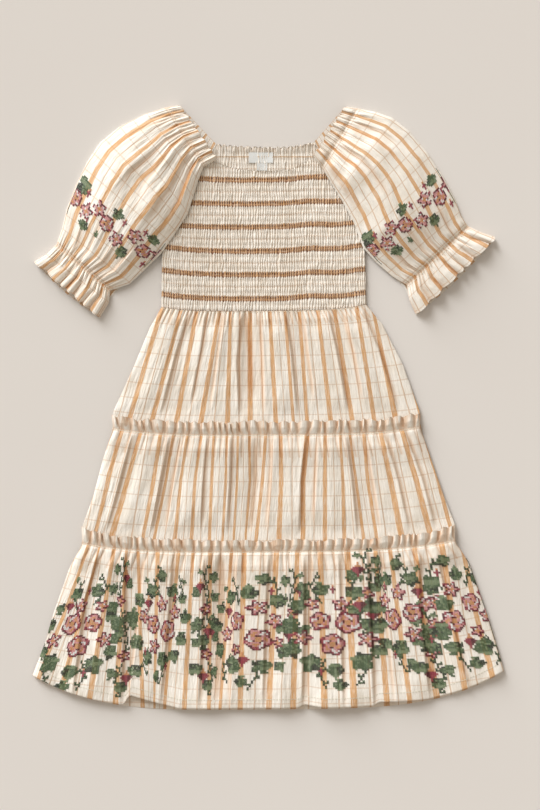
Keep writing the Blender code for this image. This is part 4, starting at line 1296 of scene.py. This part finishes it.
def embroider_tier(name, sheet, bouquets, under=False):
    """Cross-stitched bouquets on a tier; later ones don't cover earlier ones."""
    taken = {}
    for motifs, px, py, flipped in bouquets:
        x0, y0 = px_x(px), px_y(py)
        row = int(np.argmin(np.abs(sheet.y[:, sheet.x.shape[1] // 2] - y0)))
        s0 = np.interp(x0, sheet.x[row], sheet.s[row])
        i0 = int(round(s0 * STRIPE_PITCH / CELL))
        j0 = int(round(y0 / CELL))
        for (i, j), key in chart(motifs, flipped).items():
            taken.setdefault((i0 + i, j0 + j), key)
    cells = np.array(list(taken.keys()), float)
    keys = list(taken.values())
    corners = []
    for di, dj in STITCH_POINTS:
        s = (cells[:, 0] + di) * CELL / STRIPE_PITCH
        y = (cells[:, 1] + dj) * CELL
        r, c = place_on_tier(sheet, s, y)
        corners.append(sampled(sheet.points(), r, c))
    corners = np.stack(corners, axis=1)
    if under:
        corners[..., 2] = 0.30
        return thread_mesh(name, corners, keys, 0.1, 0.45, under, 0.1)
    return thread_mesh(name, corners, keys, 0.35, 0.42, False, 0.32)


def embroider_sleeve(name, sheet, columns_top, row_share, middle_u, flipped):
    """A narrow band of flowers across the top of a sleeve."""
    cells = chart(SLEEVE_BAND, flipped)
    places = np.array(list(cells.keys()), float)
    keys = list(cells.values())
    rows = np.arange(sheet.x.shape[0])
    middle_row = row_share * sheet.x.shape[0]
    width = np.hypot(
        sheet.x[int(middle_row), columns_top - 1] - sheet.x[int(middle_row), 0],
        sheet.y[int(middle_row), columns_top - 1] - sheet.y[int(middle_row), 0])
    t0 = np.interp(middle_row, rows, sheet.t[:, 0])
    corners = []
    for di, dj in STITCH_POINTS:
        u = middle_u + (places[:, 0] + di) * CELL / width
        bow = 3.0 * (2 * u - 1) ** 2 - 1.0
        t = t0 - ((places[:, 1] + dj) * CELL + bow) / CROSS_PITCH
        r = np.interp(t, sheet.t[:, 0], rows)
        corners.append(sampled(sheet.points(), r, np.clip(u, 0.02, 0.985) * (columns_top - 1)))
    corners = np.stack(corners, axis=1)
    keep = np.abs(corners[:, 0] - corners[:, 2]).max(axis=1) > 0.4
    kept = [key for key, ok in zip(keys, keep) if ok]
    return thread_mesh(name, corners[keep], kept, 0.35, 0.42, False, 0.32)


def sewing(name, lines, length, gap, width=0.55, key="C"):
    """Rows of straight stitches along lines on the cloth."""
    starts, ends = [], []
    for line in lines:
        along = np.concatenate([[0], np.cumsum(np.linalg.norm(np.diff(line, axis=0), axis=1))])
        places = np.arange(1.0, along[-1] - length - 1.0, length + gap)
        for bucket, at in ((starts, places), (ends, places + length)):
            bucket.append(np.stack([np.interp(at, along, line[:, k]) for k in range(3)], axis=1))
    starts, ends = np.concatenate(starts), np.concatenate(ends)
    run = (ends - starts)[:, :2]
    run = run / (np.linalg.norm(run, axis=1, keepdims=True) + 1e-9)
    side = np.stack([-run[:, 1], run[:, 0], 0 * run[:, 0]], axis=1)
    points = []
    for share, rise in ((0.0, 0.0), (0.5, 1.0), (1.0, 0.0)):
        middle = starts + share * (ends - starts)
        for across, high in ((-0.5, 0.0), (0.0, 1.0), (0.5, 0.0)):
            top = 0.15 + 0.40 * high * (0.3 + 0.7 * rise)
            points.append(middle + side * across * width + np.array((0.0, 0.0, top)))
    points = np.stack(points, axis=1)
    faces = np.array([(r + q, r + q + 1, r + q + 4, r + q + 3) for r in (0, 3) for q in (0, 1)])
    quads = (np.arange(len(points))[:, None, None] * 9 + faces[None]).reshape(-1, 4)
    mesh = bpy.data.meshes.new(name)
    mesh.from_pydata((points.reshape(-1, 3) * MM).tolist(), [], quads.tolist())
    mesh.shade_smooth()
    mesh.materials.append(material("thread_" + key, thread_material, key))
    item = bpy.data.objects.new(name, mesh)
    bpy.context.scene.collection.objects.link(item)
    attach(item, "root")
    return item


def row_above_hem(sheet, height):
    """A line across a tier, at a height above its hem."""
    rows = sheet.x.shape[0] - HEM_ROWS
    points = sheet.points()[:rows]
    line = []
    for c in range(points.shape[1]):
        y = points[:, c, 1]
        at = np.interp(-(y[-1] + height), -y, np.arange(rows))
        line.append(sampled_row(points[:, c], at))
    return np.array(line)


def sew_dress(fronts, sleeves):
    """The machine stitches that show: waist, tier seams, hem and sleeve casings."""
    tier_1, tier_2, tier_3 = [sheet.points() for sheet in fronts]
    seams = [tier_1[1], tier_2[SEAM_ROW], tier_3[SEAM_ROW], row_above_hem(fronts[2], 9.0)]
    sewing("seam_stitches", seams, 2.4, 0.9)
    ends = []
    for sheet in sleeves:
        points = sheet.points()[:, :SLEEVE_COLUMNS]
        ends += [points[row] for row in sheet.stitched_rows]
    sewing("sleeve_seam_stitches", ends, 2.2, 0.9)


def label(name, left, right, bottom, top, z):
    """A folded piece of blank tape, its corners slightly lifted."""
    columns, rows = 28, 16
    u, v = np.meshgrid(np.linspace(0, 1, columns), np.linspace(0, 1, rows))
    x = left + u * (right - left)
    y = top + v * (bottom - top)
    lift = 0.35 * np.abs(2 * u - 1) ** 3 + 0.12 * np.sin(5.1 * u + 2.2 * v)
    height = z + 0.45 + lift
    sheet = Sheet(name, x, y, height, u * 2, v)
    return sheet.turned_under(3.0, 0.6)


def place_piece(sheet, node, cloth):
    item = sheet.build()
    item.data.materials.append(cloth)
    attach(item, "root")
    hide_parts(node)
    return item


def studio():
    mesh = bpy.data.meshes.new("floor")
    size = 3.0
    mesh.from_pydata(
        [(-size, -size, 0), (size, -size, 0), (size, size, 0), (-size, size, 0)], [], [(0, 1, 2, 3)])
    floor = bpy.data.objects.new("floor", mesh)
    bpy.context.scene.collection.objects.link(floor)
    nodes = Nodes("floor_paper")
    grain = nodes.noise(nodes.place(), 4.0, 4.0)
    paper = nodes.mix(grain, rgb(227, 222, 217), rgb(230, 226, 221))
    nodes.link(paper, nodes.shader.inputs["Base Color"])
    nodes.shader.inputs["Roughness"].default_value = 0.95
    nodes.shader.inputs["Specular IOR Level"].default_value = 0.1
    mesh.materials.append(nodes.material)

    for name, energy, spread, way in (
            ("key", 1.45, 26, (0.50, -0.74, -0.60)),
            ("low_key", 2.75, 34, (0.56, -0.80, -0.24))):
        light = bpy.data.lights.new(name, "SUN")
        light.energy = energy
        light.angle = math.radians(spread)
        light.color = (0.985, 1.0, 1.02)
        lamp = bpy.data.objects.new(name, light)
        lamp.rotation_euler = Vector(way).to_track_quat("-Z", "Y").to_euler()
        bpy.context.scene.collection.objects.link(lamp)

    world = bpy.data.worlds.new("studio")
    world.use_nodes = True
    background = world.node_tree.nodes["Background"]
    background.inputs["Color"].default_value = (1.0, 0.90, 0.78, 1.0)
    background.inputs["Strength"].default_value = 0.47
    bpy.context.scene.world = world


def camera():
    data = bpy.data.cameras.new("camera")
    data.sensor_fit = "VERTICAL"
    data.sensor_height = 36.0
    distance = 2.5
    data.lens = 36.0 * distance / 0.8748
    item = bpy.data.objects.new("camera", data)
    item.location = (0.00108, 0.00216, distance)
    bpy.context.scene.collection.objects.link(item)
    bpy.context.scene.camera = item


def dress():
    cotton = material("cotton", checked_cotton, "checked_cotton")
    # The dark browns of the shirred materials are the painted shade of stripes between ribs
    smocked = material("smocked", checked_cotton, "shirred_cotton", 0.112, 0.0, 0.30, 0.34,
                       rgb(212, 166, 116), rgb(128, 74, 30), (1.2, 14.0), True)
    inside = material("inside", checked_cotton, "shirred_inside", 0.02, 0.0, 0.25, 0.6,
                      rgb(214, 180, 140), rgb(200, 160, 118), (1.2, 14.0), True)
    fronts = tiers()
    names = ("skirt_tier_1_front", "skirt_tier_2_front", "skirt_tier_3_front")
    cuts = ((0.37, 0.145), (0.48, 0.15), (0.61, 0.195))
    for sheet, node, cut in zip(fronts, names, cuts):
        place_piece(sheet, node, cotton)
    names = ("skirt_tier_1_back", "skirt_tier_2_back", "skirt_tier_3_back")
    cuts = ((0.34, 0.145), (0.42, 0.155), (0.53, 0.19))
    rear = backs()
    for sheet, node, cut in zip(rear, names, cuts):
        place_piece(sheet, node, cotton)
    embroider_tier("skirt_stitches", fronts[2], SKIRT_BOUQUETS)
    embroider_tier("skirt_back_stitches", rear[2], BACK_BOUQUETS, under=True)
    front = bodice_front()
    place_piece(front, "bodice_front", smocked)
    back = bodice_back()
    place_piece(back, "bodice_back", inside)
    sleeves = []
    for side, rings, seed, creases in (
            ("left", LEFT_RINGS, 41, LEFT_SLEEVE_CREASES),
            ("right", RIGHT_RINGS, 43, RIGHT_SLEEVE_CREASES)):
        sheet = sleeve("sleeve_" + side + "_cloth", rings, seed, creases, SLEEVE_COLUMNS)
        place_piece(sheet, "sleeve_" + side, cotton)
        embroider_sleeve("sleeve_" + side + "_stitches", sheet, SLEEVE_COLUMNS, 0.655, 0.5,
                         side == "right")
        sleeves.append(sheet)
    sew_dress(fronts, sleeves)
    tape = material("tape", tape_material)
    place_piece(label("neck_label_tape", -21.6, 4.3, 263.3, 274.7, ON_BACK), "neck_label",
                tape)
    place_piece(label("size_tab_tape", -13.0, -2.2, 255.2, 263.0, ON_BACK), "size_tab",
                tape)


dress()
studio()
camera()
bpy.context.scene.view_settings.view_transform = "Standard"
